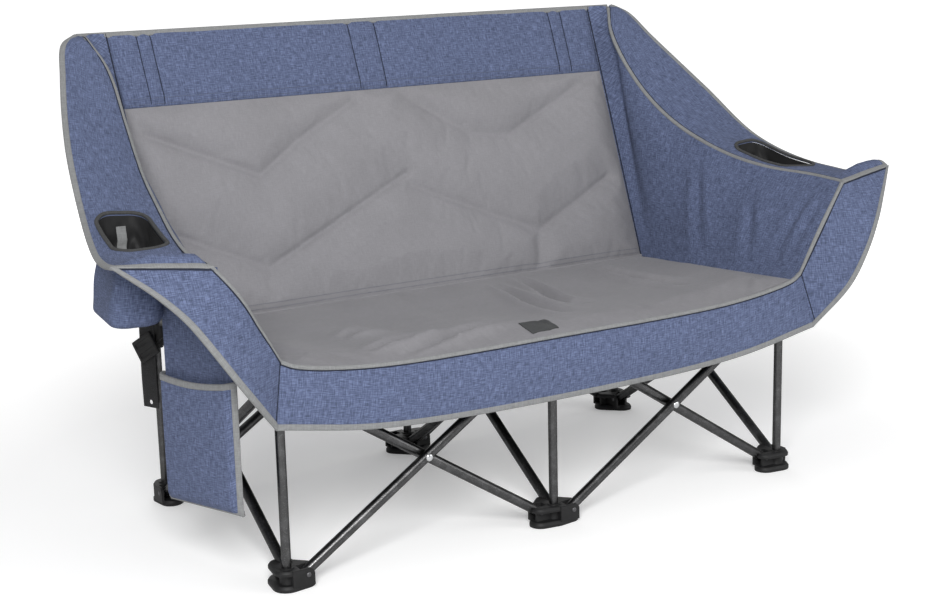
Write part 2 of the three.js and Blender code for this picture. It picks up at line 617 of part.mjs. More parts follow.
// Seat halves, back, band
const seatPanel = inset(seatSurface, { left: SEAT_EDGE, right: SEAT_EDGE, bottom: SEAT_EDGE, top: FIT });
const seatLower = (u, v) => seatPanel(u, v * SEAT_CREASE);
const creaseShare = FIT / DEPTH;
const seatUpper = (u, v) => seatPanel(u, SEAT_CREASE + creaseShare + v * (1 - SEAT_CREASE - creaseShare));
addMesh('seat_front_half', sheet(seatLower, 14, 5, (u, v) => seatLift(u, v * SEAT_CREASE), SEAT_PAD), 'grey');
const upperLift = (u, v) => seatLift(u, SEAT_CREASE + v * (1 - SEAT_CREASE));
addMesh('seat_rear_half', sheet(seatUpper, 14, 5, upperLift, SEAT_PAD), 'grey');
const backPanel = inset(backSurface, { left: CLOTH, right: CLOTH, bottom: FIT });
addMesh('back_panel', sheet(backPanel, 20, 12, backLift, BACK_PAD), 'grey');
addMesh('front_band', sheet(bandSurface, 20, 3, flat, CLOTH), 'blue');

// Block with the rounded outline of a cup opening, through stations of growth past it and height, leaning
// out towards its floor when it is a pouch
function cupBlock(sign, stations, lean = 0) {
  const points = [];
  for (const [growth, z] of stations) {
    const radius = Math.max(CUP_CORNER_R + growth, 4);
    const [halfW, halfL] = [CUP_W / 2 + growth - radius, CUP_L / 2 + growth - radius];
    for (const [corner, sx, sy] of [[0, 1, 1], [1, -1, 1], [2, -1, -1], [3, 1, -1]]) {
      for (let i = 0; i <= CORNER_STEPS; i += 1) {
        const angle = (Math.PI / 2) * (corner + i / CORNER_STEPS);
        points.push(V3(sx * halfW + radius * Math.cos(angle), sy * halfL + radius * Math.sin(angle), z));
      }
    }
  }
  const shape = new ConvexGeometry(points).rotateZ(THREE.MathUtils.degToRad(sign * CUP_TURN));
  const slope = (-sign * lean) / POUCH_DEPTH;
  shape.applyMatrix4(new THREE.Matrix4().makeShear(0, 0, 0, 0, slope, 0));
  shape.translate(-slope * ARM_Z, 0, 0);
  return solid(shape.translate(sign * (HALF + CUP_OUT), CUP_Y, 0));
}
const CORNER_STEPS = 3;
const ARM_STATIONS = 22;

// Arms, one side at a time
for (const [side, place] of [['left', mirrored], ['right', (surface) => surface]]) {
  const sign = side === 'left' ? -1 : 1;
  // Stations closer together towards the rolled front
  const drawn = (surface) => (u, v) => surface(u, Math.sign(v) * Math.abs(v) ** 1.6);
  const arm = drawn(place(inset(armSurface, { top: CLOTH })));
  const panel = place(inset(panelSurface, { left: FIT, right: PANEL_EDGE, bottom: 1, top: 1 }));
  const wing = place(inset(wingSurface, { bottom: FIT, top: 1 }));
  const cup = cupBlock(sign, [[0, ARM_Z - 2 * CUP_CORNER_R], [0, ARM_Z + CUP_L]]);
  const armSheet = solid(sheet(arm, 5, ARM_STATIONS, flat, CLOTH)).subtract(cup);
  addMesh(`${side}_arm_top`, geometryOf(armSheet), 'blue');
  const wider = drawn(place((u, v) => armSurface(-0.06 + 1.1 * u, v)));
  const pastEdge = (u, v) => wider(u, (v * (ARM_STATIONS + 1) - 1) / ARM_STATIONS);
  const seamTrim = solid(sheet(pastEdge, 5, ARM_STATIONS + 1, () => 4 * CLOTH, CLOTH + 4 * FIT));
  const innerSheet = solid(sheet(panel, 12, 6, flat, CLOTH)).subtract(seamTrim);
  addMesh(`${side}_arm_inner`, geometryOf(innerSheet), 'blue');
  addMesh(`${side}_wing`, geometryOf(solid(sheet(wing, 4, 8, flat, CLOTH)).subtract(seamTrim)), 'blue');

  // Everything above the underside of the arm panel, to trim what hangs below it
  const above = solid(sheet(arm, 5, ARM_STATIONS, () => CUP_L / 2, CLOTH + FIT));
  const floor = ARM_Z - POUCH_DEPTH;
  const walls = (edge, base) => [
    [edge - POUCH_ROUND, base], [edge - 6, base + 7], [edge, base + POUCH_ROUND], [edge, ARM_Z + POUCH_TOP],
  ];
  const pouchRoom = cupBlock(sign, walls(POUCH_EDGE - CLOTH, floor + CLOTH), POUCH_LEAN);
  const pouch = cupBlock(sign, walls(POUCH_EDGE, floor), POUCH_LEAN).subtract(pouchRoom);
  addMesh(`${side}_cup_pouch`, geometryOf(pouch.subtract(above)), 'blue');

  if (side === 'left') {
    // Magazine pocket under the arm: backing sheet with a shorter front sheet, closed below and at its sides
    const inside = POCKET_GAP + CLOTH;
    const bag = boxBetween(V3(0, 0, 0), V3(POCKET_W, inside + CLOTH, POCKET_H));
    const room = boxBetween(V3(CLOTH, CLOTH, CLOTH), V3(POCKET_W - CLOTH, inside, POCKET_H + 1));
    const backing = boxBetween(V3(BACKING_START, 0, POCKET_H - 1), V3(POCKET_W, CLOTH, ARM_Z - POCKET_Z));
    const pocketShape = geometryOf(solid(bag).subtract(solid(room)).add(solid(backing)));
    pocketShape.applyMatrix4(new THREE.Matrix4().makeShear(0, -POCKET_DROP / POCKET_W, 0, 0, 0, 0));
    pocketShape.rotateZ(Math.PI / 2 + Math.asin(POCKET_SWING / POCKET_W));
    pocketShape.translate(-HALF - POCKET_OUT, POCKET_Y, POCKET_Z);
    const within = solid(sheet(panel, 12, 6, () => CUP_L, CLOTH + FIT));
    const beside = cupBlock(sign, walls(POUCH_EDGE + CLOTH, floor - CLOTH), POUCH_LEAN);
    const trimmed = solid(pocketShape).subtract(above).subtract(within).subtract(beside);
    addMesh('magazine_pocket', geometryOf(trimmed), 'blue');
  }
}

// Carry strap looped round the left rear upright, with its buckle
{
  const axis = postAxis('rear_left');
  const outer = POST_R + FIT + STRAP_T;
  const ring = rod(V3(0, 0, STRAP_LOOP_Z), V3(0, 0, STRAP_LOOP_Z + STRAP_LOOP), outer, COLLAR_SIDES);
  const bore = rod(V3(0, 0, STRAP_LOOP_Z - 1), V3(0, 0, STRAP_LOOP_Z + STRAP_LOOP + 1), POST_R + FIT, COLLAR_SIDES);
  const hang = COLLAR_R + 8;
  const web = new THREE.Shape();
  web.moveTo(outer - STRAP_T, STRAP_LOOP_Z + STRAP_LOOP);
  web.lineTo(outer - STRAP_T, STRAP_LOOP_Z + STRAP_LOOP - 8);
  web.lineTo(hang, STRAP_LOOP_Z - 20);
  web.lineTo(hang, STRAP_LOOP_Z - STRAP_DROP);
  web.lineTo(hang + STRAP_T, STRAP_LOOP_Z - STRAP_DROP);
  web.lineTo(hang + STRAP_T, STRAP_LOOP_Z - 20);
  web.lineTo(outer, STRAP_LOOP_Z + STRAP_LOOP);
  const tail = new THREE.ExtrudeGeometry(web, { depth: STRAP_W, bevelEnabled: false });
  tail.rotateX(Math.PI / 2).translate(0, STRAP_W / 2, 0);
  const strap = geometryOf(solid(ring).add(solid(tail)).subtract(solid(bore)));
  const plate = new THREE.Shape();
  const round = 8;
  const [w, h] = [BUCKLE.width / 2, BUCKLE.height / 2];
  plate.moveTo(-w + round, -h).lineTo(w - round, -h).absarc(w - round, -h + round, round, -Math.PI / 2, 0);
  plate.absarc(w - round, h - round, round, 0, Math.PI / 2).absarc(-w + round, h - round, round, Math.PI / 2, Math.PI);
  plate.absarc(-w + round, -h + round, round, Math.PI, 1.5 * Math.PI);
  const buckle = new THREE.ExtrudeGeometry(plate, { depth: BUCKLE.thick, bevelEnabled: false, curveSegments: 4 });
  buckle.rotateZ(Math.PI / 2 + THREE.MathUtils.degToRad(BUCKLE.tilt)).rotateY(Math.PI / 2);
  buckle.translate(hang + STRAP_T + FIT, 0, STRAP_LOOP_Z - BUCKLE.below - h);
  for (const [name, shape, finish] of [['carry_strap', strap, 'webbing'], ['strap_buckle', buckle, 'plastic']]) {
    shape.rotateZ(THREE.MathUtils.degToRad(STRAP_AZIMUTH)).translate(axis.x, axis.y, 0);
    addMesh(name, shape, finish);
  }
}

export default model;
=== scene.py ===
"""Looks of the folding camping loveseat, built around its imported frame. Metres, +Z up, front towards -Y."""

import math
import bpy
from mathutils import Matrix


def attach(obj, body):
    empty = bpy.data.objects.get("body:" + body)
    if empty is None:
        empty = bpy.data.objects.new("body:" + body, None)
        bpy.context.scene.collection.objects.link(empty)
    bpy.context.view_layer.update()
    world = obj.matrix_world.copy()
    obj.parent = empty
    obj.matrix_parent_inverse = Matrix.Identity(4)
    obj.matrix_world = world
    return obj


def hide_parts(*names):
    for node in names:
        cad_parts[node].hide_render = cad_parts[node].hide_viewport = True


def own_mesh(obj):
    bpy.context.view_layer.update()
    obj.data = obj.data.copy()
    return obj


bl_info = {
    "name": "Camping Loveseat",
    "version": (1, 0, 0),
    "blender": (4, 5, 0),
    "location": "View3D > Sidebar > Loveseat",
    "description": "Dresses a folding two-seat camping chair frame in padded cloth",
    "category": "Object",
}

from contextlib import contextmanager

import bmesh
import bpy
import numpy as np
from bpy.props import FloatProperty, FloatVectorProperty, PointerProperty
from mathutils import Matrix, Vector
from mathutils.bvhtree import BVHTree

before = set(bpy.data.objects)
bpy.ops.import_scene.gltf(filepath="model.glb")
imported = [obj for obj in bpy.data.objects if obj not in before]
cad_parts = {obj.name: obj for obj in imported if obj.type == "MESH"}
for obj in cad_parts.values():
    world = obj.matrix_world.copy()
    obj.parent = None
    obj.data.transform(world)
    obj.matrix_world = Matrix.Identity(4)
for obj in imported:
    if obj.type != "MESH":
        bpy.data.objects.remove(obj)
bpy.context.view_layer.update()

# Frame layout
SPACING = 0.520
PIN_REACH = 0.028
FOOT_PIN_Z = 0.024
HUB_PIN_Z = 0.325
TUBE_SIDE = 0.0094
POSTS = {
    "front_left": (-1, 0), "front_centre": (0, 0), "front_right": (1, 0),
    "rear_left": (-1, 1), "rear_centre": (0, 1), "rear_right": (1, 1),
}
# Crossing name: foot and hub of its first tube, side of that tube, its kind, and the bodies of both tubes
CROSSINGS = {
    "front_left": ("front_centre", "front_left", 1, "arm_tube", "left_arm_link", "front_left_brace"),
    "front_right": ("front_centre", "front_right", -1, "arm_tube", "right_arm_link", "front_right_brace"),
    "left_side": ("front_left", "rear_left", 1, "cross_tube", "left_side_link", "left_side_brace"),
    "right_side": ("front_right", "rear_right", 1, "cross_tube", "right_side_link", "right_side_brace"),
    "centre": ("front_centre", "rear_centre", 1, "cross_tube", "centre_link", "centre_brace"),
    "rear_left": ("rear_centre", "rear_left", 1, "cross_tube", "rear_left_link", "rear_left_brace"),
    "rear_right": ("rear_centre", "rear_right", -1, "cross_tube", "rear_right_link", "rear_right_brace"),
}

# Edges of the cloth on the right half
ARM_Z = 0.552
BACK_Z = 0.857
SEAT_CORNER = np.array((0.508, -0.046, 0.379))
SEAT_REAR = np.array((0.518, 0.423, 0.348))
BACK_TOP = np.array((0.532, 0.633, 0.857))
PANEL_MIDDLE_Z = 0.351
CLOTH = 0.0032

# Posts, uprights and tubes
ROD_Z = (0.0083, 0.316)
POST_Z = (0.0350, 0.321)
TUBE_END = 0.009
ARM_TUBE_RUN, ARM_TUBE_OUT, ARM_TUBE_DROP, ARM_TUBE_BEND = 0.050, 0.215, 0.0046, 0.024
UPRIGHT_BEHIND, UPRIGHT_SPREAD, UPRIGHT_SHORT, UPRIGHT_BEND = 0.0183, 0.028, 0.012, 0.046
# Radius and height of the heads, and radius and half length of a rivet's shaft
RIVET_HEAD, PIN_HEAD = (0.0065, 0.0029), (0.0042, 0.0018)
RIVET_SHAFT, RIVET_REACH = 0.003, TUBE_SIDE + 0.009

# Feet: radii, then heights of the lower flange, the upper flange and the collar
FOOT_RADIUS, LOBE_RADIUS, COLLAR_RADIUS, SOCKET_RADIUS = 0.024, 0.020, 0.0125, 0.0066
FLANGE_TOP, UPPER_LOW, FOOT_TOP, COLLAR_TOP = 0.0095, 0.0265, 0.0345, 0.0360
FLANGE_INSET, UPPER_INSET, UPPER_SMALLER = 0.003, 0.0025, 0.0015
COLLAR_LOW, SOCKET_LOW = 0.004, 0.008
# Yokes of the feet, the slots in them for the tubes, and the pins' heads
YOKE_HALF, YOKE_LOW, YOKE_PAST, YOKE_ROUND = 0.0143, 0.006, 0.011, 0.0095
SLOT_HALF, SLOT_START, SLOT_LOW = 0.0093, 0.0150, 0.0100
PIN_OUT = 0.0142
# Far enough for a cut to leave the piece
CUT_PAST = 0.1

# Back and seat pads
BACK_DEPTH, BACK_RISE = 0.210, 0.509
BACK_LEAN = np.array((0, 0.3814, 0.9244))
BAND_SEAM_Z = 0.724
BAND_FOLDS = [-0.478, -0.452, -0.045, 0.014, 0.430, 0.458]
BACK_THICK, SEAT_THICK = 0.0095, 0.0078
# Distance from a sewn line over which the back rises, and width of the line
BACK_RISE_RUN, SEWN_WIDTH = 0.022, 0.0045
BAND_SWELL, BAND_FOLD_DEPTH, BAND_FOLD_WIDTH = 0.0045, 0.0034, 0.005
SEAT_FOLD, SEAT_FOLD_WIDTH = 0.0105, 0.011
# Most that the cloth run moves a pad
SETTLE_CAP = 0.006
# Binding of the back's top edge: its outer end, section, and place below and behind the edge
BINDING_END = (0.589, 0.631, 0.857)
TOP_BINDING = (0.0120, 0.0125)
TOP_BINDING_DOWN, TOP_BINDING_IN = 0.003, 0.0045
# Other bindings: thickness, place in from the edge, and thickness of the dark lines beside them, partly seams
# and partly painted shade
BINDING_THICK, BAND_BINDING_THICK, BINDING_IN, SEAM_SHADE_THICK = 0.0064, 0.0062, 0.0025, 0.0018
SLEEVE_LENGTH = 0.085
PATCH_CENTRE, PATCH_SIZE = (-0.0305, -0.006), (0.053, 0.044)
SEWN_RISE = 0.0004

# Swell of the arm tops and wings, and folds of the inner arm panels
ARM_SWELL, WING_SWELL = 0.006, 0.004
PANEL_FOLD, PANEL_FOLD_WIDTH = 0.0034, 0.012

# Pocket under the left arm, and its backing
POCKET_WIDTH, POCKET_HEIGHT, POCKET_DEPTH = 0.190, 0.214, 0.0204
POCKET_CORNER = np.array((-0.590, -0.006, 0.140))
POCKET_SWING, POCKET_SINK = 0.045, -0.014
POCKET_CLOTH, BACKING_HEIGHT = 0.0026, 0.395

# Carry strap: its turn about the post, loop, webbing and eyelet
STRAP_TURN = math.radians(205)
LOOP_RADIUS, LOOP_Z, LOOP_WIDTH, TAIL_WIDTH, WEBBING = 0.0096, 0.387, 0.030, 0.038, 0.0024
EYELET_RADIUS, EYELET_Z = 0.0045, 0.194
# Points of the strap's tail: distance out from the post, sideways, and height
STRAP_TAIL = [
    (0.0098, 0.0, 0.398), (0.0135, 0.001, 0.380), (0.0222, 0.002, 0.350), (0.0222, 0.0, 0.300),
    (0.0222, -0.001, 0.240), (0.0222, 0.0, 0.184),
]
# Buckle: half sizes of its plate and of its slots, their depth and heights, its bar, tilt and place
BUCKLE_HALF = Vector((0.003, 0.027, 0.022))
BUCKLE_SLOT_HALF, BUCKLE_SLOT_LOW, BUCKLE_SLOTS_Z = (0.020, 0.0045), 0.0014, (-0.010, 0.010)
BUCKLE_BAR_RADIUS, BUCKLE_BAR_HALF = 0.0024, 0.022
BUCKLE_TILT, BUCKLE_PLACE = math.radians(32), (0.0267, 0.0, 0.298)

# Camera of the photograph: its axes, its place, its focal length and picture width in pixels,
# and its sensor width in mm
CAMERA_AXES = Matrix((
    (0.8505, 0.1358, -0.50814), (-0.52544, 0.17579, -0.83248), (-0.02373, 0.97502, 0.22086),
))
CAMERA_PLACE = (-1.5642, -2.2845, 1.0322)
FOCAL_PIXELS, PICTURE_PIXELS, SENSOR = 1653.6, 933.0, 36.0
# Lights: name, place, size, power and what each points at
LIGHTS = (
    ("key", (-2.2, -3.1, 2.5), 2.0, 200, (0, 0.2, 0.45)),
    ("fill", (2.8, -2.8, 1.7), 2.6, 50, (0.2, 0.2, 0.4)),
    ("rear", (1.2, 3.3, 1.7), 2.4, 17, (0.0, 0.55, 0.5)),
    ("top", (0.3, 0.4, 3.4), 2.4, 7, (0, 0.3, 0.3)),
)
# Light from all round, and what is added to it where it is seen
WORLD_LIGHT, WORLD_SEEN = 0.38, 0.64


def arm_points(rows):
    """Arm edge points from mm out past the post, share of the depth and share of the rise to the back."""
    return [
        (SPACING + out / 1000, along * SPACING, ARM_Z + rise * (BACK_Z - ARM_Z))
        for out, along, rise in rows
    ]


ARM_OUTER = arm_points([
    (260, -0.027, 0.033), (247, 0.115, 0), (230, 0.288, 0), (199, 0.562, 0.144), (170, 0.817, 0.452),
    (128, 1.063, 0.787), (103, 1.173, 0.957), (74, 1.213, 1),
])
ARM_INNER = arm_points([
    (113, -0.081, -0.01), (113, 0.077, 0.003), (92, 0.288, 0.023), (70, 0.5, 0.095), (50, 0.76, 0.27),
    (37, 0.942, 0.5), (35, 1.102, 0.807), (57, 1.185, 0.99),
])
WING_INNER = [(0.531, -0.042, 0.389), (0.563, -0.043, 0.446), (0.595, -0.046, 0.501), ARM_INNER[0]]
WING_OUTER = [
    (0.551, -0.060, 0.287), (0.612, -0.091, 0.362), (0.655, -0.091, 0.4235), (0.691, -0.079, 0.477),
    (0.730, -0.053, 0.520), ARM_OUTER[0],
]
SEAT_FRONT = [tuple(SEAT_CORNER), (0.374, -0.046, 0.359), (0.0, -0.046, 0.354)]
BAND_HEM = [WING_OUTER[0], (0.364, -0.060, 0.257), (0.0, -0.060, 0.246)]

# Cup openings: centre, width and length of the rounded outline, its corner radius and turn,
# and the pouch below with its lean, the radius of its floor's edge, its growth and its lining's place
CUP_CENTRE = np.array((0.672, 0.188))
CUP_SIZE = np.array((0.082, 0.158))
CUP_CORNER = 0.030
CUP_TURN = math.radians(7)
POUCH_FLOOR = 0.434
POUCH_LEAN = 0.018 / 0.118
POUCH_EDGE = 0.014
POUCH_OUT, LINING_IN, LINING_RISE = 0.003, 0.0034, 0.003
# Rim of a cup opening: how far out it lies, its section, and the drop from it to the pouch
RIM_OUT, RIM_SECTION, LIP_DROP = 0.0022, (0.0068, 0.0048), 0.0046

# Sewn chevrons of the back, as x and z
CHANNELS = [
    [(-0.500, 0.676), (-0.294, 0.588), (-0.204, 0.642), (-0.069, 0.706)],
    [(0.050, 0.704), (0.175, 0.625), (0.263, 0.614), (0.500, 0.715)],
    [(-0.480, 0.500), (-0.315, 0.425), (0.016, 0.565)],
    [(0.016, 0.540), (0.286, 0.426), (0.480, 0.512)],
    [(0.286, 0.426), (0.270, 0.366)],
]
# Depth of the sewn line in each chevron
CHANNEL_DEPTHS = [0.0054, 0.0033, 0.0068, 0.0046, 0.0030]
# Soft creases of the seat, as x and y
SEAT_CREASES = [
    [(0.100, 0.350), (0.094, 0.296), (0.073, 0.178), (0.069, 0.099), (0.077, 0.038)],
    [(0.165, 0.370), (0.158, 0.315), (0.133, 0.186), (0.129, 0.135), (0.160, 0.095)],
    [(-0.320, -0.030), (-0.150, 0.030), (-0.030, 0.070)],
    [(-0.360, 0.010), (-0.190, 0.060)],
    [(-0.349, 0.117), (-0.245, 0.167)],
    [(0.339, 0.355), (0.343, 0.197), (0.370, 0.080)],
]
# Folds of the inner arm panels, as y and z
PANEL_FOLDS = [
    [(0.013, 0.529), (0.038, 0.392)],
    [(-0.020, 0.520), (0.004, 0.400)],
    [(0.150, 0.520), (0.105, 0.390)],
    [(0.300, 0.580), (0.240, 0.380)],
]


class LoveseatSizes(bpy.types.PropertyGroup):
    """Sizes that a user may change"""

    tube_diameter: FloatProperty(
        name="Cross tube", description="Diameter of the crossed tubes", default=0.018, unit="LENGTH",
    )
    post_diameter: FloatProperty(
        name="Post", description="Diameter of the posts and uprights", default=0.016, unit="LENGTH",
    )
    rod_diameter: FloatProperty(
        name="Guide rod", description="Diameter of the rods inside the posts", default=0.0124, unit="LENGTH",
    )
    binding_width: FloatProperty(
        name="Binding", description="Width of the grey edge binding", default=0.0105, unit="LENGTH",
    )
    back_swell: FloatProperty(
        name="Back swell", description="Rise of the back padding between its seams", default=0.0100,
        unit="LENGTH",
    )
    seat_swell: FloatProperty(
        name="Seat swell", description="Rise of the seat padding", default=0.007, unit="LENGTH",
    )
    stitch_pitch: FloatProperty(
        name="Stitch pitch", description="Distance between stitches", default=0.0042, unit="LENGTH",
    )


class LoveseatColours(bpy.types.PropertyGroup):
    """Finishes that a user may change"""

    blue: FloatVectorProperty(
        name="Blue cloth", description="Heathered cloth", subtype="COLOR", default=(0.083, 0.103, 0.177),
    )
    grey: FloatVectorProperty(
        name="Grey cloth", description="Padded seat and back", subtype="COLOR", default=(0.195, 0.192, 0.204),
    )
    binding: FloatVectorProperty(
        name="Binding", description="Edge binding", subtype="COLOR", default=(0.190, 0.194, 0.196),
    )
    steel: FloatVectorProperty(
        name="Frame", description="Coated tubes", subtype="COLOR", default=(0.060, 0.060, 0.061),
    )
    plastic: FloatVectorProperty(
        name="Mouldings", description="Feet and hubs", subtype="COLOR", default=(0.008, 0.008, 0.0085),
    )
    webbing: FloatVectorProperty(
        name="Webbing", description="Strap and linings", subtype="COLOR", default=(0.010, 0.010, 0.011),
    )


def sizes():
    return bpy.context.scene.loveseat_sizes


def colours():
    return bpy.context.scene.loveseat_colours


# Curves and surfaces


def distances(path):
    """Distance of each point of a path from its start, along the path."""
    return np.concatenate([[0], np.cumsum(np.linalg.norm(np.diff(path, axis=0), axis=1))])


def between(spots, run, points):
    """Points at these spots of a path whose own points lie at run."""
    return np.stack([np.interp(spots, run, points[:, k]) for k in range(3)], axis=-1)


def unit(vectors):
    return vectors / np.linalg.norm(vectors, axis=-1, keepdims=True)


def moved_out(points, lift):
    """Grid of points moved along its normals."""
    return points + normals(points) * lift[..., None]


def spline(points):
    """Smooth curve through points, called with shares of its length."""
    p = np.array(points, float)
    ends = np.vstack([2 * p[0] - p[1], p, 2 * p[-1] - p[-2]])
    run = []
    for i in range(len(p) - 1):
        a, b, c, d = ends[i:i + 4]
        t0 = 0.0
        t1 = t0 + np.linalg.norm(b - a) ** 0.5
        t2 = t1 + np.linalg.norm(c - b) ** 0.5
        t3 = t2 + np.linalg.norm(d - c) ** 0.5
        t = np.linspace(t1, t2, 48, endpoint=False)[:, None]
        a1 = (t1 - t) / (t1 - t0) * a + (t - t0) / (t1 - t0) * b
        a2 = (t2 - t) / (t2 - t1) * b + (t - t1) / (t2 - t1) * c
        a3 = (t3 - t) / (t3 - t2) * c + (t - t2) / (t3 - t2) * d
        b1 = (t2 - t) / (t2 - t0) * a1 + (t - t0) / (t2 - t0) * a2
        b2 = (t3 - t) / (t3 - t1) * a2 + (t - t1) / (t3 - t1) * a3
        run.append((t2 - t) / (t2 - t1) * b1 + (t - t1) / (t2 - t1) * b2)
    run = np.vstack(run + [p[-1:]])
    length = distances(run)
    share = length / length[-1]

    def at(t):
        return between(np.asarray(t, float), share, run)

    at.length = length[-1]
    return at


def straight(a, b):
    a, b = np.array(a, float), np.array(b, float)

    def at(t):
        t = np.asarray(t, float)[..., None]
        return a + t * (b - a)

    return at


def mirror(points):
    return [(-x, y, z) for x, y, z in points]


def across(points):
    """Curve from the left end to the right one, through points that run from the right end to the middle."""
    return spline(mirror(points) + points[-2::-1])


def coons(bottom, top, left, right):
    def at(u, v):
        u3, v3 = u[..., None], v[..., None]
        ruled = (1 - v3) * bottom(u) + v3 * top(u) + (1 - u3) * left(v) + u3 * right(v)
        low = (1 - u3) * bottom(0.0) + u3 * bottom(1.0)
        high = (1 - u3) * top(0.0) + u3 * top(1.0)
        return ruled - (1 - v3) * low - v3 * high

    return at


arm_outer = spline(ARM_OUTER)
arm_inner = spline(ARM_INNER)
wing_inner = spline(WING_INNER)
wing_outer = spline(WING_OUTER)
panel_top = spline([tuple(BACK_TOP)] + ARM_INNER[::-1])
panel_front = spline([tuple(SEAT_CORNER)] + WING_INNER)
panel_middle = (SEAT_REAR + SEAT_CORNER) / 2 * (1, 1, 0) + (0, 0, PANEL_MIDDLE_Z)
panel_bottom = spline([tuple(SEAT_REAR), tuple(panel_middle), tuple(SEAT_CORNER)])
band_top = across([WING_INNER[0]] + SEAT_FRONT)
band_hem = across(BAND_HEM)
seat_front_edge = across(SEAT_FRONT)
seat_rear_edge = straight(SEAT_REAR * (-1, 1, 1), SEAT_REAR)
back_top_edge = straight(BACK_TOP * (-1, 1, 1), BACK_TOP)
arm_panel = coons(panel_bottom, panel_top, straight(SEAT_REAR, BACK_TOP), panel_front)
arm_wing = coons(
    straight(WING_INNER[0], WING_OUTER[0]), straight(ARM_INNER[0], ARM_OUTER[0]), wing_inner, wing_outer,
)


def ease(t):
    t = np.clip(t, 0, 1)
    return t * t * (3 - 2 * t)


def rolled_strip(share):
    """Arm top whose nose is rolled up over a share of its width."""

    def strip(u, v):
        u3 = u[..., None]
        point = (1 - u3) * arm_inner(v) + u3 * arm_outer(v)
        run = v * arm_outer.length
        roll = 0.013 * np.minimum(1, run / 0.010) * np.exp(-((run - 0.022) / 0.0154) ** 2)
        dip = 0.008 * np.minimum(1, run / 0.040) * np.exp(-((run - 0.080) / 0.040) ** 2)
        point[..., 2] += share(u) * (roll - dip)
        return point

    return strip


arm_strips = {
    -1: rolled_strip(lambda u: ease(u / 0.15) * ease((0.92 - u) / 0.35)),
    1: rolled_strip(lambda u: ease((u - 0.2) / 0.4)),
}


def cup_outline(sign, growth):
    """Outline of a cup opening, grown past its edge, as rows of x and y."""
    radius = max(CUP_CORNER + growth, 0.004)
    half = CUP_SIZE / 2 + growth - radius
    corners = ((1, 1), (-1, 1), (-1, -1), (1, -1))
    points = []
    for corner, (sx, sy) in enumerate(corners):
        for step in range(13):
            angle = math.pi / 2 * (corner + step / 12)
            points.append((sx * half[0] + radius * math.cos(angle), sy * half[1] + radius * math.sin(angle)))
        here = np.array(points[-1])
        angle = math.pi / 2 * (corner + 1)
        ahead = np.array(corners[(corner + 1) % 4]) * half
        ahead = ahead + radius * np.array((math.cos(angle), math.sin(angle)))
        points += [tuple(here + (ahead - here) * k / 6) for k in range(1, 6)]
    points = np.array(points)
    c, s = math.cos(sign * CUP_TURN), math.sin(sign * CUP_TURN)
    return points @ np.array(((c, s), (-s, c))) + CUP_CENTRE * (sign, 1)


def back_plane(u, v):
    v3 = v[..., None]
    return (1 - v3) * seat_rear_edge(u) + v3 * back_top_edge(u)


def seat_plane(u, v):
    v3 = v[..., None]
    point = (1 - v3) * seat_front_edge(u) + v3 * seat_rear_edge(u)
    point[..., 2] -= 0.012 * np.sin(np.pi * u) * np.sin(np.pi * v) ** 2
    return point


def band_face(u, v):
    v3 = v[..., None]
    point = (1 - v3) * band_hem(u) + v3 * band_top(u)
    point[..., 1] -= 0.009 * np.sin(np.pi * v) * np.sin(np.pi * u) ** 0.5
    return point


def grid(surface, nu, nv, v0=0.0, v1=1.0):
    """Points of a surface, in rows of growing v."""
    u, v = np.meshgrid(np.linspace(0.0, 1.0, nu + 1), np.linspace(v0, v1, nv + 1))
    return surface(u, v)


def on_left(points):
    """The same points on the left side, with the visible face kept outwards."""
    return points[:, ::-1] * np.array((-1, 1, 1))


def normals(points):
    n = np.cross(np.gradient(points, axis=1), np.gradient(points, axis=0))
    return n / np.maximum(np.linalg.norm(n, axis=-1, keepdims=True), 1e-12)


def ripple(a, b, seed, size):
    """Slow uneven swell over two coordinates in metres, from fixed waves of about the given size."""
    rng = np.random.RandomState(seed)
    total = np.zeros(np.broadcast(a, b).shape)
    for k in range(7):
        angle = rng.uniform(0, math.pi)
        wave = 2 * math.pi / (size * rng.uniform(0.6, 1.7))
        total += np.sin(wave * (a * math.cos(angle) + b * math.sin(angle)) + rng.uniform(0, 6.28))
    return total / 7


def line_reach(a, b, points):
    """Distance to a line through points, and the share of the line's length at its nearest place."""
    pairs = list(zip(points, points[1:]))
    lengths = [math.dist(p, q) for p, q in pairs]
    best = np.full(np.broadcast(a, b).shape, 9.0)
    share = np.zeros(best.shape)
    for k, ((x0, y0), (x1, y1)) in enumerate(pairs):
        t = ((a - x0) * (x1 - x0) + (b - y0) * (y1 - y0)) / ((x1 - x0) ** 2 + (y1 - y0) ** 2)
        t = np.clip(t, 0, 1)
        reach = np.hypot(a - x0 - t * (x1 - x0), b - y0 - t * (y1 - y0))
        share = np.where(reach < best, (sum(lengths[:k]) + t * lengths[k]) / sum(lengths), share)
        best = np.minimum(best, reach)
    return best, share


def soft_folds(a, b, lines, width):
    """Height of folds along lines: a groove between two swells, which fades out towards its ends."""
    total = np.zeros(np.broadcast(a, b).shape)
    for points in lines:
        best, share = line_reach(a, b, points)
        spread = width * (0.7 + 0.6 * share)
        shape = np.exp(-((best - 1.7 * spread) / (1.2 * spread)) ** 2) - 1.2 * np.exp(-(best / spread) ** 2)
        total += np.sin(math.pi * share) * shape
    return total


def edge_fade(rows, cols, reach):
    """0 on the border of a grid and 1 inside it."""
    u = np.linspace(0, 1, cols)[None, :]
    v = np.linspace(0, 1, rows)[:, None]
    near = np.minimum(np.minimum(u, 1 - u) / reach[0], np.minimum(v, 1 - v) / reach[1])
    return np.sin(np.clip(near, 0, 1) * math.pi / 2)


def run_lengths(points, axis):
    step = np.linalg.norm(np.diff(points, axis=axis), axis=-1)
    zero = np.zeros_like(np.take(step, [0], axis=axis))
    return np.concatenate([zero, np.cumsum(step, axis=axis)], axis=axis)


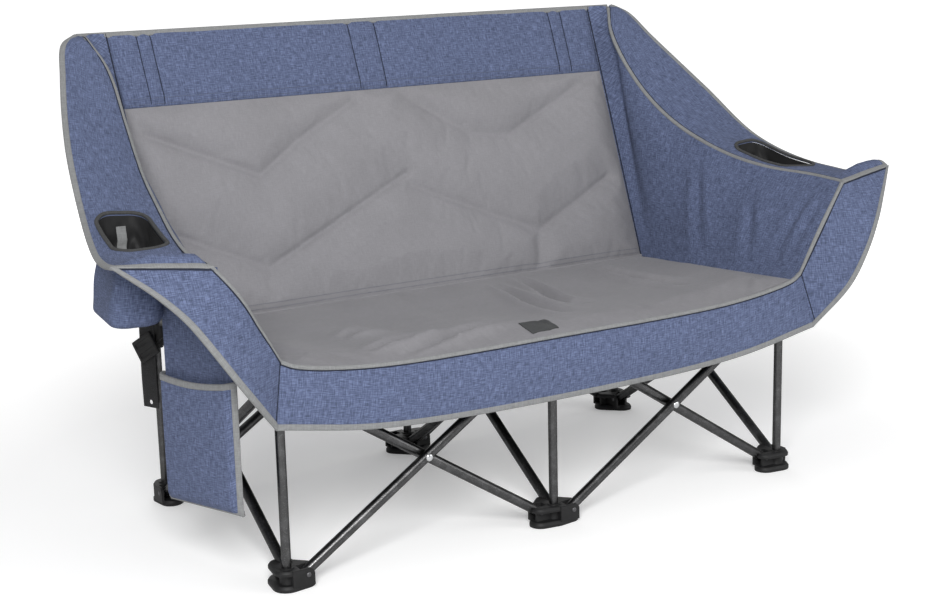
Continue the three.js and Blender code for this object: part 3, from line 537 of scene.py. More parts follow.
def cut_size(points):
    """Width, length and area of the flat cloth that makes a grid of points."""
    du = np.linalg.norm(np.diff(points, axis=1), axis=-1)
    dv = np.linalg.norm(np.diff(points, axis=0), axis=-1)
    a = points[1:, 1:] - points[:-1, :-1]
    b = points[1:, :-1] - points[:-1, 1:]
    area = np.linalg.norm(np.cross(a, b), axis=-1).sum() / 2
    width, length = du.sum(axis=1).max(), dv.sum(axis=0).max()
    return float(width), float(length), float(min(area, width * length))


# Mesh helpers


def make_object(name, verts, faces, uvs=None, face_slots=None):
    mesh = bpy.data.meshes.new(name)
    mesh.from_pydata([tuple(v) for v in verts], [], faces)
    if uvs is not None:
        layer = mesh.uv_layers.new(name="cloth")
        loops = np.zeros(len(mesh.loops), dtype=np.int32)
        mesh.loops.foreach_get("vertex_index", loops)
        layer.data.foreach_set("uv", np.asarray(uvs, dtype=np.float32)[loops].ravel())
    if face_slots is not None:
        mesh.polygons.foreach_set("material_index", face_slots)
    mesh.polygons.foreach_set("use_smooth", [True] * len(mesh.polygons))
    mesh.update()
    obj = bpy.data.objects.new(name, mesh)
    bpy.context.scene.collection.objects.link(obj)
    return obj


def shell(name, front, back, materials, threads=None):
    """Closed sheet between two grids of points. The second material, if any, is on its rear face.

    threads gives the directions of the weave where it does not run along the grid.
    """
    rows, cols = front.shape[:2]
    count = rows * cols
    at = lambda j, i, layer: layer * count + j * cols + i
    faces, slots = [], []
    for j in range(rows - 1):
        for i in range(cols - 1):
            faces.append((at(j, i, 0), at(j, i + 1, 0), at(j + 1, i + 1, 0), at(j + 1, i, 0)))
            slots.append(0)
            faces.append((at(j, i, 1), at(j + 1, i, 1), at(j + 1, i + 1, 1), at(j, i + 1, 1)))
            slots.append(len(materials) - 1)
    for i in range(cols - 1):
        faces.append((at(0, i, 0), at(0, i, 1), at(0, i + 1, 1), at(0, i + 1, 0)))
        faces.append((at(rows - 1, i, 0), at(rows - 1, i + 1, 0), at(rows - 1, i + 1, 1), at(rows - 1, i, 1)))
        slots += [0, 0]
    for j in range(rows - 1):
        faces.append((at(j, 0, 0), at(j + 1, 0, 0), at(j + 1, 0, 1), at(j, 0, 1)))
        faces.append((at(j, cols - 1, 0), at(j, cols - 1, 1), at(j + 1, cols - 1, 1), at(j + 1, cols - 1, 0)))
        slots += [0, 0]
    uv = np.stack([run_lengths(front, 1), run_lengths(front, 0)], axis=-1).reshape(-1, 2)
    if threads is not None:
        uv = front.reshape(-1, 3) @ np.array(threads, float).T
    verts = np.concatenate([front.reshape(-1, 3), back.reshape(-1, 3)])
    obj = make_object(name, verts, faces, np.concatenate([uv, uv]), slots)
    for material in materials:
        obj.data.materials.append(material)
    smooth(obj, 50)
    return obj


def cloth_shell(name, points, materials, thickness=CLOTH, threads=None):
    return shell(name, points, points - normals(points) * thickness, materials, threads)


def sweep(name, path, side, up, section, material, closed=False):
    """Section, as offsets along side and up, swept along a path of points."""
    n, m = len(path), len(section)
    verts = np.concatenate([path[k] + section[:, :1] * side[k] + section[:, 1:] * up[k] for k in range(n)])
    faces = []
    for k in range(n if closed else n - 1):
        for i in range(m):
            a, b = k * m + i, k * m + (i + 1) % m
            c, d = ((k + 1) % n) * m + (i + 1) % m, ((k + 1) % n) * m + i
            faces.append((a, b, c, d))
    if not closed:
        faces.append(tuple(range(m - 1, -1, -1)))
        faces.append(tuple((n - 1) * m + i for i in range(m)))
    uv = np.stack(np.meshgrid(distances(path), distances(section), indexing="ij"), axis=-1).reshape(-1, 2)
    obj = make_object(name, verts, faces, uv)
    obj.data.materials.append(material)
    recalculate(obj)
    smooth(obj, 45)
    return obj


def rounded(width, thick, power=4.0, count=14):
    """Outline of a flat ribbon with soft edges."""
    t = np.linspace(0, 2 * math.pi, count, endpoint=False)
    x = np.sign(np.cos(t)) * np.abs(np.cos(t)) ** (2 / power) * width / 2
    y = np.sign(np.sin(t)) * np.abs(np.sin(t)) ** (2 / power) * thick / 2
    return np.stack([x, y], axis=1)


def activate(obj):
    bpy.ops.object.select_all(action="DESELECT")
    obj.select_set(True)
    bpy.context.view_layer.objects.active = obj


def smooth(obj, angle):
    activate(obj)
    bpy.ops.object.shade_smooth_by_angle(angle=math.radians(angle))


@contextmanager
def editing(obj, action="SELECT"):
    """Edit mode on one object, with all of its mesh selected or none of it."""
    activate(obj)
    bpy.ops.object.mode_set(mode="EDIT")
    bpy.ops.mesh.select_all(action=action)
    yield
    bpy.ops.object.mode_set(mode="OBJECT")


def recalculate(obj):
    with editing(obj):
        bpy.ops.mesh.normals_make_consistent(inside=False)


def coat(obj, material, angle):
    """Gives an object one material and smooth faces up to an angle."""
    obj.data.materials.clear()
    obj.data.materials.append(material)
    smooth(obj, angle)


def bevel(obj, width, segments, angle):
    limit = math.radians(angle)
    modify(obj, "BEVEL", width=width, segments=segments, limit_method="ANGLE", angle_limit=limit)


def apply_place(obj):
    activate(obj)
    bpy.ops.object.transform_apply(location=True, rotation=True, scale=True)


def modify(obj, kind, **values):
    """Adds a modifier with these values and applies it."""
    activate(obj)
    modifier = obj.modifiers.new(kind, kind)
    for key, value in values.items():
        setattr(modifier, key, value)
    bpy.ops.object.modifier_apply(modifier=modifier.name)


def join(name, objects):
    bpy.ops.object.select_all(action="DESELECT")
    for obj in objects:
        obj.select_set(True)
    bpy.context.view_layer.objects.active = objects[0]
    bpy.ops.object.join()
    objects[0].name = name
    objects[0].data.name = name
    return objects[0]


def union(obj, other, operation="UNION"):
    modify(obj, "BOOLEAN", object=other, operation=operation, solver="EXACT")
    bpy.data.objects.remove(other, do_unlink=True)


def cylinder(radius, low, high, sides=32):
    low, high = Vector(low), Vector(high)
    axis = high - low
    bpy.ops.object.select_all(action="DESELECT")
    bpy.ops.mesh.primitive_cylinder_add(
        vertices=sides, radius=radius, depth=axis.length, location=(low + high) / 2,
        rotation=axis.to_track_quat("Z", "Y").to_euler(),
    )
    obj = bpy.context.object
    apply_place(obj)
    return obj


def block(low, high):
    low, high = Vector(low), Vector(high)
    bpy.ops.object.select_all(action="DESELECT")
    bpy.ops.mesh.primitive_cube_add(size=1, location=(low + high) / 2)
    obj = bpy.context.object
    obj.scale = high - low
    apply_place(obj)
    return obj


def place_piece(obj, body, nodes=(), gather=None):
    """Ties a finished piece to its body and hides the frame nodes it stands for; with gather given, the piece
    gets its own copy of its mesh.
    """
    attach(obj, body)
    if nodes:
        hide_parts(*nodes)
    if gather:
        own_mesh(obj)


def cut_sheet(points):
    """Works out the width, length and area of the flat cloth that makes a grid of points, and keeps none of
    them.
    """
    width, length, area = cut_size(points)


# Materials


def new_group(name, inputs, outputs):
    group = bpy.data.node_groups.new(name, "ShaderNodeTree")
    for label, kind, default in inputs:
        socket = group.interface.new_socket(label, in_out="INPUT", socket_type=kind)
        socket.default_value = default
    for label, kind in outputs:
        group.interface.new_socket(label, in_out="OUTPUT", socket_type=kind)
    return group, group.nodes.new("NodeGroupInput"), group.nodes.new("NodeGroupOutput")


def math_node(tree, operation, a, b=None):
    made = tree.nodes.new("ShaderNodeMath")
    made.operation = operation
    for index, value in enumerate((a, b)):
        if value is None:
            continue
        if isinstance(value, (int, float)):
            made.inputs[index].default_value = value
        else:
            tree.links.new(value, made.inputs[index])
    return made.outputs[0]


def mix_colour(tree, factor, a, b):
    made = tree.nodes.new("ShaderNodeMix")
    made.data_type = "RGBA"
    for index, source in ((0, factor), (6, a), (7, b)):
        tree.links.new(source, made.inputs[index])
    return made.outputs[2]


def fill_inputs(made, values):
    for key, value in values.items():
        made.inputs[key].default_value = value


def streaks(tree, vector, scale, detail):
    """Noise drawn out along one thread direction."""
    mapping = tree.nodes.new("ShaderNodeMapping")
    mapping.inputs["Scale"].default_value = scale
    tree.links.new(vector, mapping.inputs["Vector"])
    noise = tree.nodes.new("ShaderNodeTexNoise")
    fill_inputs(noise, {"Scale": 1.0, "Detail": detail, "Roughness": 0.55})
    tree.links.new(mapping.outputs[0], noise.inputs["Vector"])
    return noise.outputs["Fac"]


def weave_group():
    """Woven cloth: heathered threads both ways, a fine weave height and slow shade changes."""
    if "woven cloth" in bpy.data.node_groups:
        return bpy.data.node_groups["woven cloth"]
    group, entry, leave = new_group(
        "woven cloth",
        [
            ("Vector", "NodeSocketVector", (0, 0, 0)),
            ("Colour", "NodeSocketColor", (0.2, 0.2, 0.2, 1)),
            ("Light thread", "NodeSocketColor", (0.4, 0.4, 0.4, 1)),
            ("Dark thread", "NodeSocketColor", (0.1, 0.1, 0.1, 1)),
            ("Heather", "NodeSocketFloat", 0.5), ("Thread pitch", "NodeSocketFloat", 0.0012),
        ],
        [("Colour", "NodeSocketColor"), ("Height", "NodeSocketFloat"), ("Roughness", "NodeSocketFloat")],
    )
    vector = entry.outputs["Vector"]
    warp = streaks(group, vector, (680, 62, 1), 2.0)
    weft = streaks(group, vector, (70, 720, 1), 2.0)
    slow = streaks(group, vector, (9, 9, 1), 3.0)
    both = math_node(group, "ADD", warp, weft)
    thread = math_node(group, "MULTIPLY", math_node(group, "SUBTRACT", both, 1.0), 4.0)
    light = math_node(group, "MAXIMUM", thread, 0.0)
    dark = math_node(group, "MAXIMUM", math_node(group, "MULTIPLY", thread, -1.0), 0.0)
    light = math_node(group, "MULTIPLY", math_node(group, "MINIMUM", light, 1.0), entry.outputs["Heather"])
    dark = math_node(group, "MULTIPLY", math_node(group, "MINIMUM", dark, 1.0), entry.outputs["Heather"])
    colour = mix_colour(group, light, entry.outputs["Colour"], entry.outputs["Light thread"])
    colour = mix_colour(group, dark, colour, entry.outputs["Dark thread"])
    shade = math_node(group, "ADD", math_node(group, "MULTIPLY", slow, 0.22), 0.89)
    scale = group.nodes.new("ShaderNodeVectorMath")
    scale.operation = "SCALE"
    group.links.new(colour, scale.inputs[0])
    group.links.new(shade, scale.inputs["Scale"])
    turns = math_node(group, "DIVIDE", 6.2832, entry.outputs["Thread pitch"])
    parts = group.nodes.new("ShaderNodeSeparateXYZ")
    group.links.new(vector, parts.inputs[0])
    wave_u = math_node(group, "SINE", math_node(group, "MULTIPLY", parts.outputs[0], turns))
    wave_v = math_node(group, "SINE", math_node(group, "MULTIPLY", parts.outputs[1], turns))
    height = math_node(group, "MULTIPLY", wave_u, wave_v)
    height = math_node(group, "ADD", math_node(group, "MULTIPLY", height, 0.5), both)
    group.links.new(scale.outputs[0], leave.inputs["Colour"])
    group.links.new(height, leave.inputs["Height"])
    rough = math_node(group, "ADD", math_node(group, "MULTIPLY", slow, 0.12), 0.78)
    group.links.new(rough, leave.inputs["Roughness"])
    return group


def grain_group():
    """Fine grain of a coated or moulded surface, with scuffed and dusty places."""
    if "fine grain" in bpy.data.node_groups:
        return bpy.data.node_groups["fine grain"]
    group, entry, leave = new_group(
        "fine grain",
        [
            ("Colour", "NodeSocketColor", (0.02, 0.02, 0.02, 1)),
            ("Worn colour", "NodeSocketColor", (0.1, 0.1, 0.1, 1)),
            ("Grain size", "NodeSocketFloat", 900.0), ("Wear", "NodeSocketFloat", 0.3),
            ("Roughness", "NodeSocketFloat", 0.4),
        ],
        [("Colour", "NodeSocketColor"), ("Height", "NodeSocketFloat"), ("Roughness", "NodeSocketFloat")],
    )
    place = group.nodes.new("ShaderNodeTexCoord").outputs["Object"]
    grain = group.nodes.new("ShaderNodeTexNoise")
    grain.inputs["Detail"].default_value = 2.0
    group.links.new(place, grain.inputs["Vector"])
    group.links.new(entry.outputs["Grain size"], grain.inputs["Scale"])
    patch = group.nodes.new("ShaderNodeTexNoise")
    patch.inputs["Scale"].default_value = 45.0
    patch.inputs["Detail"].default_value = 5.0
    group.links.new(place, patch.inputs["Vector"])
    worn = math_node(group, "MAXIMUM", math_node(group, "SUBTRACT", patch.outputs["Fac"], 0.5), 0.0)
    worn = math_node(group, "MULTIPLY", math_node(group, "MULTIPLY", worn, 3.0), entry.outputs["Wear"])
    speck = math_node(group, "MAXIMUM", math_node(group, "SUBTRACT", grain.outputs["Fac"], 0.55), 0.0)
    worn = math_node(group, "ADD", worn, math_node(group, "MULTIPLY", speck, 1.2))
    worn = math_node(group, "MINIMUM", worn, 1.0)
    colour = mix_colour(group, worn, entry.outputs["Colour"], entry.outputs["Worn colour"])
    group.links.new(colour, leave.inputs["Colour"])
    group.links.new(grain.outputs["Fac"], leave.inputs["Height"])
    rough = math_node(group, "MULTIPLY", patch.outputs["Fac"], 0.18)
    rough = math_node(group, "ADD", entry.outputs["Roughness"], rough)
    group.links.new(rough, leave.inputs["Roughness"])
    return group


def finish_material(name, group, values, bump, distance, shader):
    """Principled surface with colour, roughness and bump from a shared group."""
    if name in bpy.data.materials:
        return bpy.data.materials[name]
    material = bpy.data.materials.new(name)
    material.use_nodes = True
    tree = material.node_tree
    principled = tree.nodes["Principled BSDF"]
    fill_inputs(principled, shader)
    source = tree.nodes.new("ShaderNodeGroup")
    source.node_tree = group
    fill_inputs(source, values)
    if "Vector" in source.inputs:
        tree.links.new(tree.nodes.new("ShaderNodeUVMap").outputs[0], source.inputs["Vector"])
    tree.links.new(source.outputs["Colour"], principled.inputs["Base Color"])
    tree.links.new(source.outputs["Roughness"], principled.inputs["Roughness"])
    relief = tree.nodes.new("ShaderNodeBump")
    fill_inputs(relief, {"Strength": bump, "Distance": distance})
    tree.links.new(source.outputs["Height"], relief.inputs["Height"])
    tree.links.new(relief.outputs[0], principled.inputs["Normal"])
    return material


def tone(colour, gain, lift=0.0):
    return (*[min(c * gain + lift, 1.0) for c in colour], 1.0)


# Cloths: name, colour, gains of that colour for the cloth, its light threads and its dark threads,
# lift of the light threads, heather, thread pitch, strength and depth of the bump, shader values
CLOTHS = {
    "blue": (
        "blue heather cloth", "blue", (1, 1.7, 0.5), 0.012, 0.8, 0.0016, 0.5, 0.0006,
        {"Sheen Weight": 0.02, "Sheen Roughness": 0.5, "Specular IOR Level": 0.12},
    ),
    "grey": (
        "grey padded cloth", "grey", (1, 1.18, 0.85), 0.0, 0.45, 0.0013, 0.3, 0.0004,
        {"Sheen Weight": 0.08, "Sheen Roughness": 0.4, "Specular IOR Level": 0.35},
    ),
    "binding": (
        "grey binding tape", "binding", (1, 1.3, 0.7), 0.0, 0.5, 0.0011, 0.5, 0.0004,
        {"Sheen Weight": 0.05, "Specular IOR Level": 0.3},
    ),
    # dark seam lines, which also paint the shade in the gaps beside bindings and in folds
    "seam": (
        "dark blue seam", "blue", (0.18, 0.26, 0.10), 0.0, 0.5, 0.0016, 0.4, 0.0004,
        {"Specular IOR Level": 0.2},
    ),
    "rim": (
        "dark cup rim tape", "binding", (0.22, 0.38, 0.13), 0.0, 0.5, 0.0011, 0.5, 0.0004,
        {"Specular IOR Level": 0.4},
    ),
    "lining": (
        "black coated lining", "webbing", (0.6, 0.9, 0.4), 0.0, 0.4, 0.0012, 0.2, 0.0003,
        {"Specular IOR Level": 0.35, "Coat Weight": 0.08, "Coat Roughness": 0.4},
    ),
    "black": (
        "black lining cloth", "webbing", (1, 2.2, 0.6), 0.004, 0.7, 0.0018, 0.6, 0.0006,
        {"Sheen Weight": 0.1, "Specular IOR Level": 0.35},
    ),
}
# Hard finishes: name, colour, worn colour, grain size, wear, roughness, strength and depth of the bump,
# shader values
FINISHES = {
    "steel": (
        "black coated steel", "steel", (0.30, 0.30, 0.31, 1), 460.0, 0.30, 0.25, 0.5, 0.0007,
        {"Metallic": 1.0, "Specular Tint": (0.10, 0.10, 0.10, 1), "Coat Weight": 0.6, "Coat Roughness": 0.16},
    ),
    "plastic": (
        "black moulded plastic", "plastic", (0.03, 0.03, 0.031, 1), 1600.0, 0.3, 0.46, 0.2, 0.0003,
        {"Specular IOR Level": 0.32},
    ),
    "rivet": (
        "bright rivet steel", (0.62, 0.63, 0.64, 1), (0.4, 0.4, 0.41, 1), 1200.0, 0.3, 0.2, 0.15, 0.0002,
        {"Metallic": 1.0},
    ),
    "pin": (
        "dark pin steel", (0.12, 0.12, 0.125, 1), (0.3, 0.3, 0.31, 1), 1200.0, 0.3, 0.35, 0.15, 0.0002,
        {"Metallic": 1.0},
    ),
    "patch": (
        "grey rubber", (0.05, 0.052, 0.053, 1), (0.09, 0.09, 0.092, 1), 1800.0, 0.3, 0.5, 0.2, 0.0002,
        {"Specular IOR Level": 0.3},
    ),
    "thread": (
        "grey sewing thread", (0.09, 0.1, 0.135, 1), (0.14, 0.15, 0.19, 1), 2500.0, 0.2, 0.6, 0.2, 0.0002,
        {"Specular IOR Level": 0.3},
    ),
}


def woven(kind):
    """Material of one of the cloths."""
    name, colour, gains, lift, heather, pitch, bump, depth, shader = CLOTHS[kind]
    base = getattr(colours(), colour)
    values = {
        "Colour": tone(base, gains[0]), "Light thread": tone(base, gains[1], lift),
        "Dark thread": tone(base, gains[2]), "Heather": heather, "Thread pitch": pitch,
    }
    return finish_material(name, weave_group(), values, bump, depth, shader)


def coated(kind):
    """Material of one of the hard finishes."""
    name, colour, worn, grain, wear, rough, bump, depth, shader = FINISHES[kind]
    if isinstance(colour, str):
        colour = tone(getattr(colours(), colour), 1)
    values = {"Colour": colour, "Worn colour": worn, "Grain size": grain, "Wear": wear, "Roughness": rough}
    return finish_material(name, grain_group(), values, bump, depth, shader)


# Frame pieces


def post_axis(name):
    i, j = POSTS[name]
    return np.array((i * SPACING, j * SPACING, 0.0))


def tube_ends(foot, hub, side):
    along = (post_axis(hub) - post_axis(foot)) / SPACING
    sideways = np.array((abs(along[1]), abs(along[0]), 0.0))
    low = post_axis(foot) + along * PIN_REACH + sideways * side * TUBE_SIDE + (0, 0, FOOT_PIN_Z)
    high = post_axis(hub) - along * PIN_REACH + sideways * side * TUBE_SIDE + (0, 0, HUB_PIN_Z)
    return low, high, along, sideways


def upright_ends(name):
    """Bend and top of a rear upright, which runs behind the back."""
    axis = post_axis(name)
    lean = np.array((0, BACK_DEPTH, BACK_RISE)) / np.hypot(BACK_DEPTH, BACK_RISE)
    behind = SEAT_REAR * (0, 1, 1) + np.array((0, lean[2], -lean[1])) * UPRIGHT_BEHIND
    corner = axis + (0, 0, behind[2] + (SPACING - behind[1]) * lean[2] / lean[1])
    top_z = BACK_Z - UPRIGHT_SHORT
    top_y = behind[1] + (top_z - behind[2]) * lean[1] / lean[2]
    return corner, np.array((axis[0] + np.sign(axis[0]) * UPRIGHT_SPREAD, top_y, top_z))


def all_tubes():
    rows = []
    for name, (first, second, side, kind, link, brace) in CROSSINGS.items():
        rows.append((f"{name}_{kind}", first, second, side, link, kind == "arm_tube"))
        rows.append((f"{name}_brace_tube", second, first, -side, brace, False))
    return rows


def pipe(name, points, radius, material, bend=None):
    """Round tube along points, with one corner drawn as a bend and a pressed plug in each end."""
    bpy.ops.object.select_all(action="DESELECT")
    bpy.ops.curve.primitive_bezier_curve_add(enter_editmode=False)
    obj = bpy.context.object
    data = obj.data
    data.splines.clear()
    p = [np.array(q, float) for q in points]
    if bend:
        before = p[1] + (p[0] - p[1]) / np.linalg.norm(p[0] - p[1]) * bend
        after = p[1] + (p[2] - p[1]) / np.linalg.norm(p[2] - p[1]) * bend
        t = np.linspace(0, 1, 9)[:, None]
        p = [p[0], *((1 - t) ** 2 * before + 2 * t * (1 - t) * p[1] + t ** 2 * after), p[2]]
    line = data.splines.new("POLY")
    line.points.add(len(p) - 1)
    for target, q in zip(line.points, p):
        target.co = (*q, 1)
    data.dimensions = "3D"
    data.bevel_depth = radius
    data.bevel_resolution = 7
    data.use_fill_caps = True
    obj.location = (0, 0, 0)
    activate(obj)
    bpy.ops.object.convert(target="MESH")
    obj = bpy.context.object
    obj.name = name
    with editing(obj):
        bpy.ops.mesh.remove_doubles(threshold=1e-6)
        bpy.ops.mesh.normals_make_consistent(inside=False)
        bpy.ops.mesh.select_all(action="DESELECT")
        work = bmesh.from_edit_mesh(obj.data)
        for face in work.faces:
            face.select = len(face.verts) > 8
        bmesh.update_edit_mesh(obj.data)
        bpy.ops.mesh.inset(thickness=radius * 0.16)
        bpy.ops.mesh.inset(thickness=radius * 0.08, depth=-radius * 0.18)
        bpy.ops.mesh.inset(thickness=radius * 0.3, depth=radius * 0.1)
    coat(obj, material, 40)
    return obj


def dome(name, centre, axis, head, material):
    """Rivet or pin head, a low dome with its flat side at centre."""
    radius, height = head
    axis = Vector(axis).normalized()
    bpy.ops.object.select_all(action="DESELECT")
    bpy.ops.mesh.primitive_uv_sphere_add(segments=24, ring_count=14, radius=radius)
    obj = bpy.context.object
    obj.name = name
    with editing(obj):
        bpy.ops.mesh.bisect(plane_co=(0, 0, 0), plane_no=(0, 0, 1), clear_inner=True, use_fill=True)
    obj.scale = (1, 1, height / radius)
    obj.rotation_euler = axis.to_track_quat("Z", "Y").to_euler()
    obj.location = centre
    apply_place(obj)
    coat(obj, material, 40)
    return obj


def outline_plate(lobes, low, high, inset):
    """Plate whose outline runs round a set of circles, with its upper edge drawn in."""
    points = []
    for (x, y), radius in lobes:
        for k in range(40):
            angle = 2 * math.pi * k / 40
            c, s = math.cos(angle), math.sin(angle)
            points.append((x + radius * c, y + radius * s, low))
            points.append((x + radius * c, y + radius * s, low + (high - low) * 0.55))
            points.append((x + (radius - inset) * c, y + (radius - inset) * s, high))
    obj = make_object("plate", points, [])
    with editing(obj):
        bpy.ops.mesh.convex_hull()
        bpy.ops.mesh.dissolve_limited(angle_limit=math.radians(2))
    return obj


def yoke_cheeks(turn, offset):
    """Block about a foot's hinge pin, rounded over the pin, along +X and then turned about Z."""
    low, high = (0, offset - YOKE_HALF, YOKE_LOW), (PIN_REACH + YOKE_PAST, offset + YOKE_HALF, FOOT_TOP)
    obj = block(low, high)
    with editing(obj, "DESELECT"):
        work = bmesh.from_edit_mesh(obj.data)
        for edge in work.edges:
            a, b = edge.verts
            far = min(a.co.x, b.co.x) > PIN_REACH
            level = abs(a.co.z - b.co.z) < 1e-6
            edge.select = far and level and abs(a.co.y - b.co.y) > 0.01 and a.co.z > FOOT_PIN_Z
        bmesh.update_edit_mesh(obj.data)
        bpy.ops.mesh.bevel(offset=YOKE_ROUND, segments=5)
    obj.rotation_euler = (0, 0, turn)
    apply_place(obj)
    return obj


class LOVESEAT_OT_stage(bpy.types.Operator):
    """Camera at the photograph's angle, soft lights and a pale floor"""

    bl_idname = "loveseat.stage"
    bl_label = "Stage"

    def execute(self, context):
        scene = context.scene
        scene.view_settings.view_transform = "Standard"
        bpy.ops.object.camera_add(location=CAMERA_PLACE, rotation=CAMERA_AXES.to_euler())
        camera = context.object
        camera.data.sensor_width = SENSOR
        camera.data.lens = SENSOR * FOCAL_PIXELS / PICTURE_PIXELS
        scene.camera = camera
        bpy.ops.object.select_all(action="DESELECT")
        bpy.ops.mesh.primitive_plane_add(size=60.0, location=(0, 0.3, -0.0005))
        floor = context.object
        floor.name = "floor"
        material = bpy.data.materials.new("pale floor")
        material.use_nodes = True
        tree = material.node_tree
        principled = tree.nodes["Principled BSDF"]
        fill_inputs(principled, {
            "Base Color": (0.88, 0.88, 0.88, 1), "Roughness": 0.9, "Specular IOR Level": 0.1,
        })
        glow = tree.nodes.new("ShaderNodeEmission")
        seen = tree.nodes.new("ShaderNodeLightPath").outputs["Is Camera Ray"]
        reach = tree.nodes.new("ShaderNodeVectorMath")
        reach.operation = "LENGTH"
        tree.links.new(tree.nodes.new("ShaderNodeTexCoord").outputs["Object"], reach.inputs[0])
        away = tree.nodes.new("ShaderNodeMapRange")
        fill_inputs(away, {"From Min": 0.9, "From Max": 2.6, "To Min": 0.20, "To Max": 0.80})
        tree.links.new(reach.outputs["Value"], away.inputs["Value"])
        tree.links.new(math_node(tree, "MULTIPLY", seen, away.outputs["Result"]), glow.inputs["Strength"])
        both = tree.nodes.new("ShaderNodeAddShader")
        tree.links.new(principled.outputs[0], both.inputs[0])
        tree.links.new(glow.outputs[0], both.inputs[1])
        tree.links.new(both.outputs[0], tree.nodes["Material Output"].inputs["Surface"])
        floor.data.materials.append(material)
        world = bpy.data.worlds.new("soft studio")
        scene.world = world
        world.use_nodes = True
        tree = world.node_tree
        background = tree.nodes["Background"]
        background.inputs["Color"].default_value = (1, 1, 1, 1)
        seen = tree.nodes.new("ShaderNodeLightPath").outputs["Is Camera Ray"]
        strength = math_node(tree, "ADD", math_node(tree, "MULTIPLY", seen, WORLD_SEEN), WORLD_LIGHT)
        tree.links.new(strength, background.inputs["Strength"])
        for name, place, size, power, aim in LIGHTS:
            bpy.ops.object.light_add(type="AREA", location=place)
            lamp = context.object
            lamp.name = name
            lamp.data.shape = "DISK"
            lamp.data.size = size
            lamp.data.energy = power
            lamp.rotation_euler = (Vector(aim) - Vector(place)).to_track_quat("-Z", "Y").to_euler()
        return {"FINISHED"}


class LOVESEAT_OT_tubes(bpy.types.Operator):
    """Crossed tubes, posts, uprights and guide rods"""

    bl_idname = "loveseat.tubes"
    bl_label = "Tubes"

    def execute(self, context):
        radius = sizes().tube_diameter / 2
        for name, foot, hub, side, body, arm in all_tubes():
            low, high, along, _ = tube_ends(foot, hub, side)
            slope = (high - low) / np.linalg.norm(high - low)
            start, end, bend = low - slope * TUBE_END, [high + slope * TUBE_END], None
            if arm:
                out = np.array((along[0] * (SPACING + ARM_TUBE_OUT), high[1], ARM_Z - ARM_TUBE_DROP))
                end, bend = [high + slope * ARM_TUBE_RUN, out], ARM_TUBE_BEND
            tube = pipe(name + "_finish", (start, *end), radius, coated("steel"), bend)
            place_piece(tube, body, [name])
        radius = sizes().post_diameter / 2
        for name, (_, row) in POSTS.items():
            axis = post_axis(name)
            ends = [axis + (0, 0, z) for z in ROD_Z]
            rod = pipe(name + "_rod_finish", ends, sizes().rod_diameter / 2, coated("steel"))
            place_piece(rod, name + "_base", [name + "_rod"])
            low, high = [axis + (0, 0, z) for z in POST_Z]
            if row == 0:
                kind, ends, bend = "_post", (low, high), None
            else:
                kind, ends, bend = "_upright", (low, *upright_ends(name)), UPRIGHT_BEND
            post = pipe(name + kind + "_finish", ends, radius, coated("steel"), bend)
            place_piece(post, name + "_upper", [name + kind])
        return {"FINISHED"}


class LOVESEAT_OT_feet(bpy.types.Operator):
    """Moulded feet with two flanges and hinge cheeks"""

    bl_idname = "loveseat.feet"
    bl_label = "Feet"

    def execute(self, context):
        for name in POSTS:
            lobes = [((0.0, 0.0), FOOT_RADIUS)]
            cheeks, cuts, heads = [], [], []
            for _, foot, hub, side, _, _ in all_tubes():
                if foot != name:
                    continue
                low, _, along, sideways = tube_ends(foot, hub, side)
                lobes.append(((along[0] * PIN_REACH, along[1] * PIN_REACH), LOBE_RADIUS))
                turn = math.atan2(along[1], along[0])
                offset = side * TUBE_SIDE * float(np.dot((-math.sin(turn), math.cos(turn), 0), sideways))
                cheeks.append(yoke_cheeks(turn, offset))
                far = (CUT_PAST, offset + SLOT_HALF, CUT_PAST)
                cut = block((SLOT_START, offset - SLOT_HALF, SLOT_LOW), far)
                cut.rotation_euler = (0, 0, turn)
                apply_place(cut)
                cuts.append(cut)
                heads.append((Vector(low), Vector(sideways)))
            foot_piece = outline_plate(lobes, 0.0, FLANGE_TOP, FLANGE_INSET)
            smaller = [(centre, radius - UPPER_SMALLER) for centre, radius in lobes]
            union(foot_piece, outline_plate(smaller, UPPER_LOW, FOOT_TOP, UPPER_INSET))
            union(foot_piece, cylinder(COLLAR_RADIUS, (0, 0, COLLAR_LOW), (0, 0, COLLAR_TOP), 40))
            for cheek in cheeks:
                union(foot_piece, cheek)
            for cut in cuts:
                union(foot_piece, cut, "DIFFERENCE")
            socket = cylinder(SOCKET_RADIUS, (0, 0, SOCKET_LOW), (0, 0, CUT_PAST), 32)
            union(foot_piece, socket, "DIFFERENCE")
            foot_piece.location = post_axis(name)
            apply_place(foot_piece)
            foot_piece.name = name + "_foot_finish"
            bevel(foot_piece, 0.0009, 2, 32)
            coat(foot_piece, coated("plastic"), 35)
            place_piece(foot_piece, name + "_base", [name + "_foot"])
            caps = []
            for k, (pin, sideways) in enumerate(heads):
                for sign in (-1, 1):
                    out = sideways * sign
                    base = pin + out * PIN_OUT
                    caps.append(dome(f"{name}_pin_{k}_{sign}", base, out, PIN_HEAD, coated("pin")))
            caps = join(name + "_foot_pins", caps)
            place_piece(caps, name + "_base")
        return {"FINISHED"}


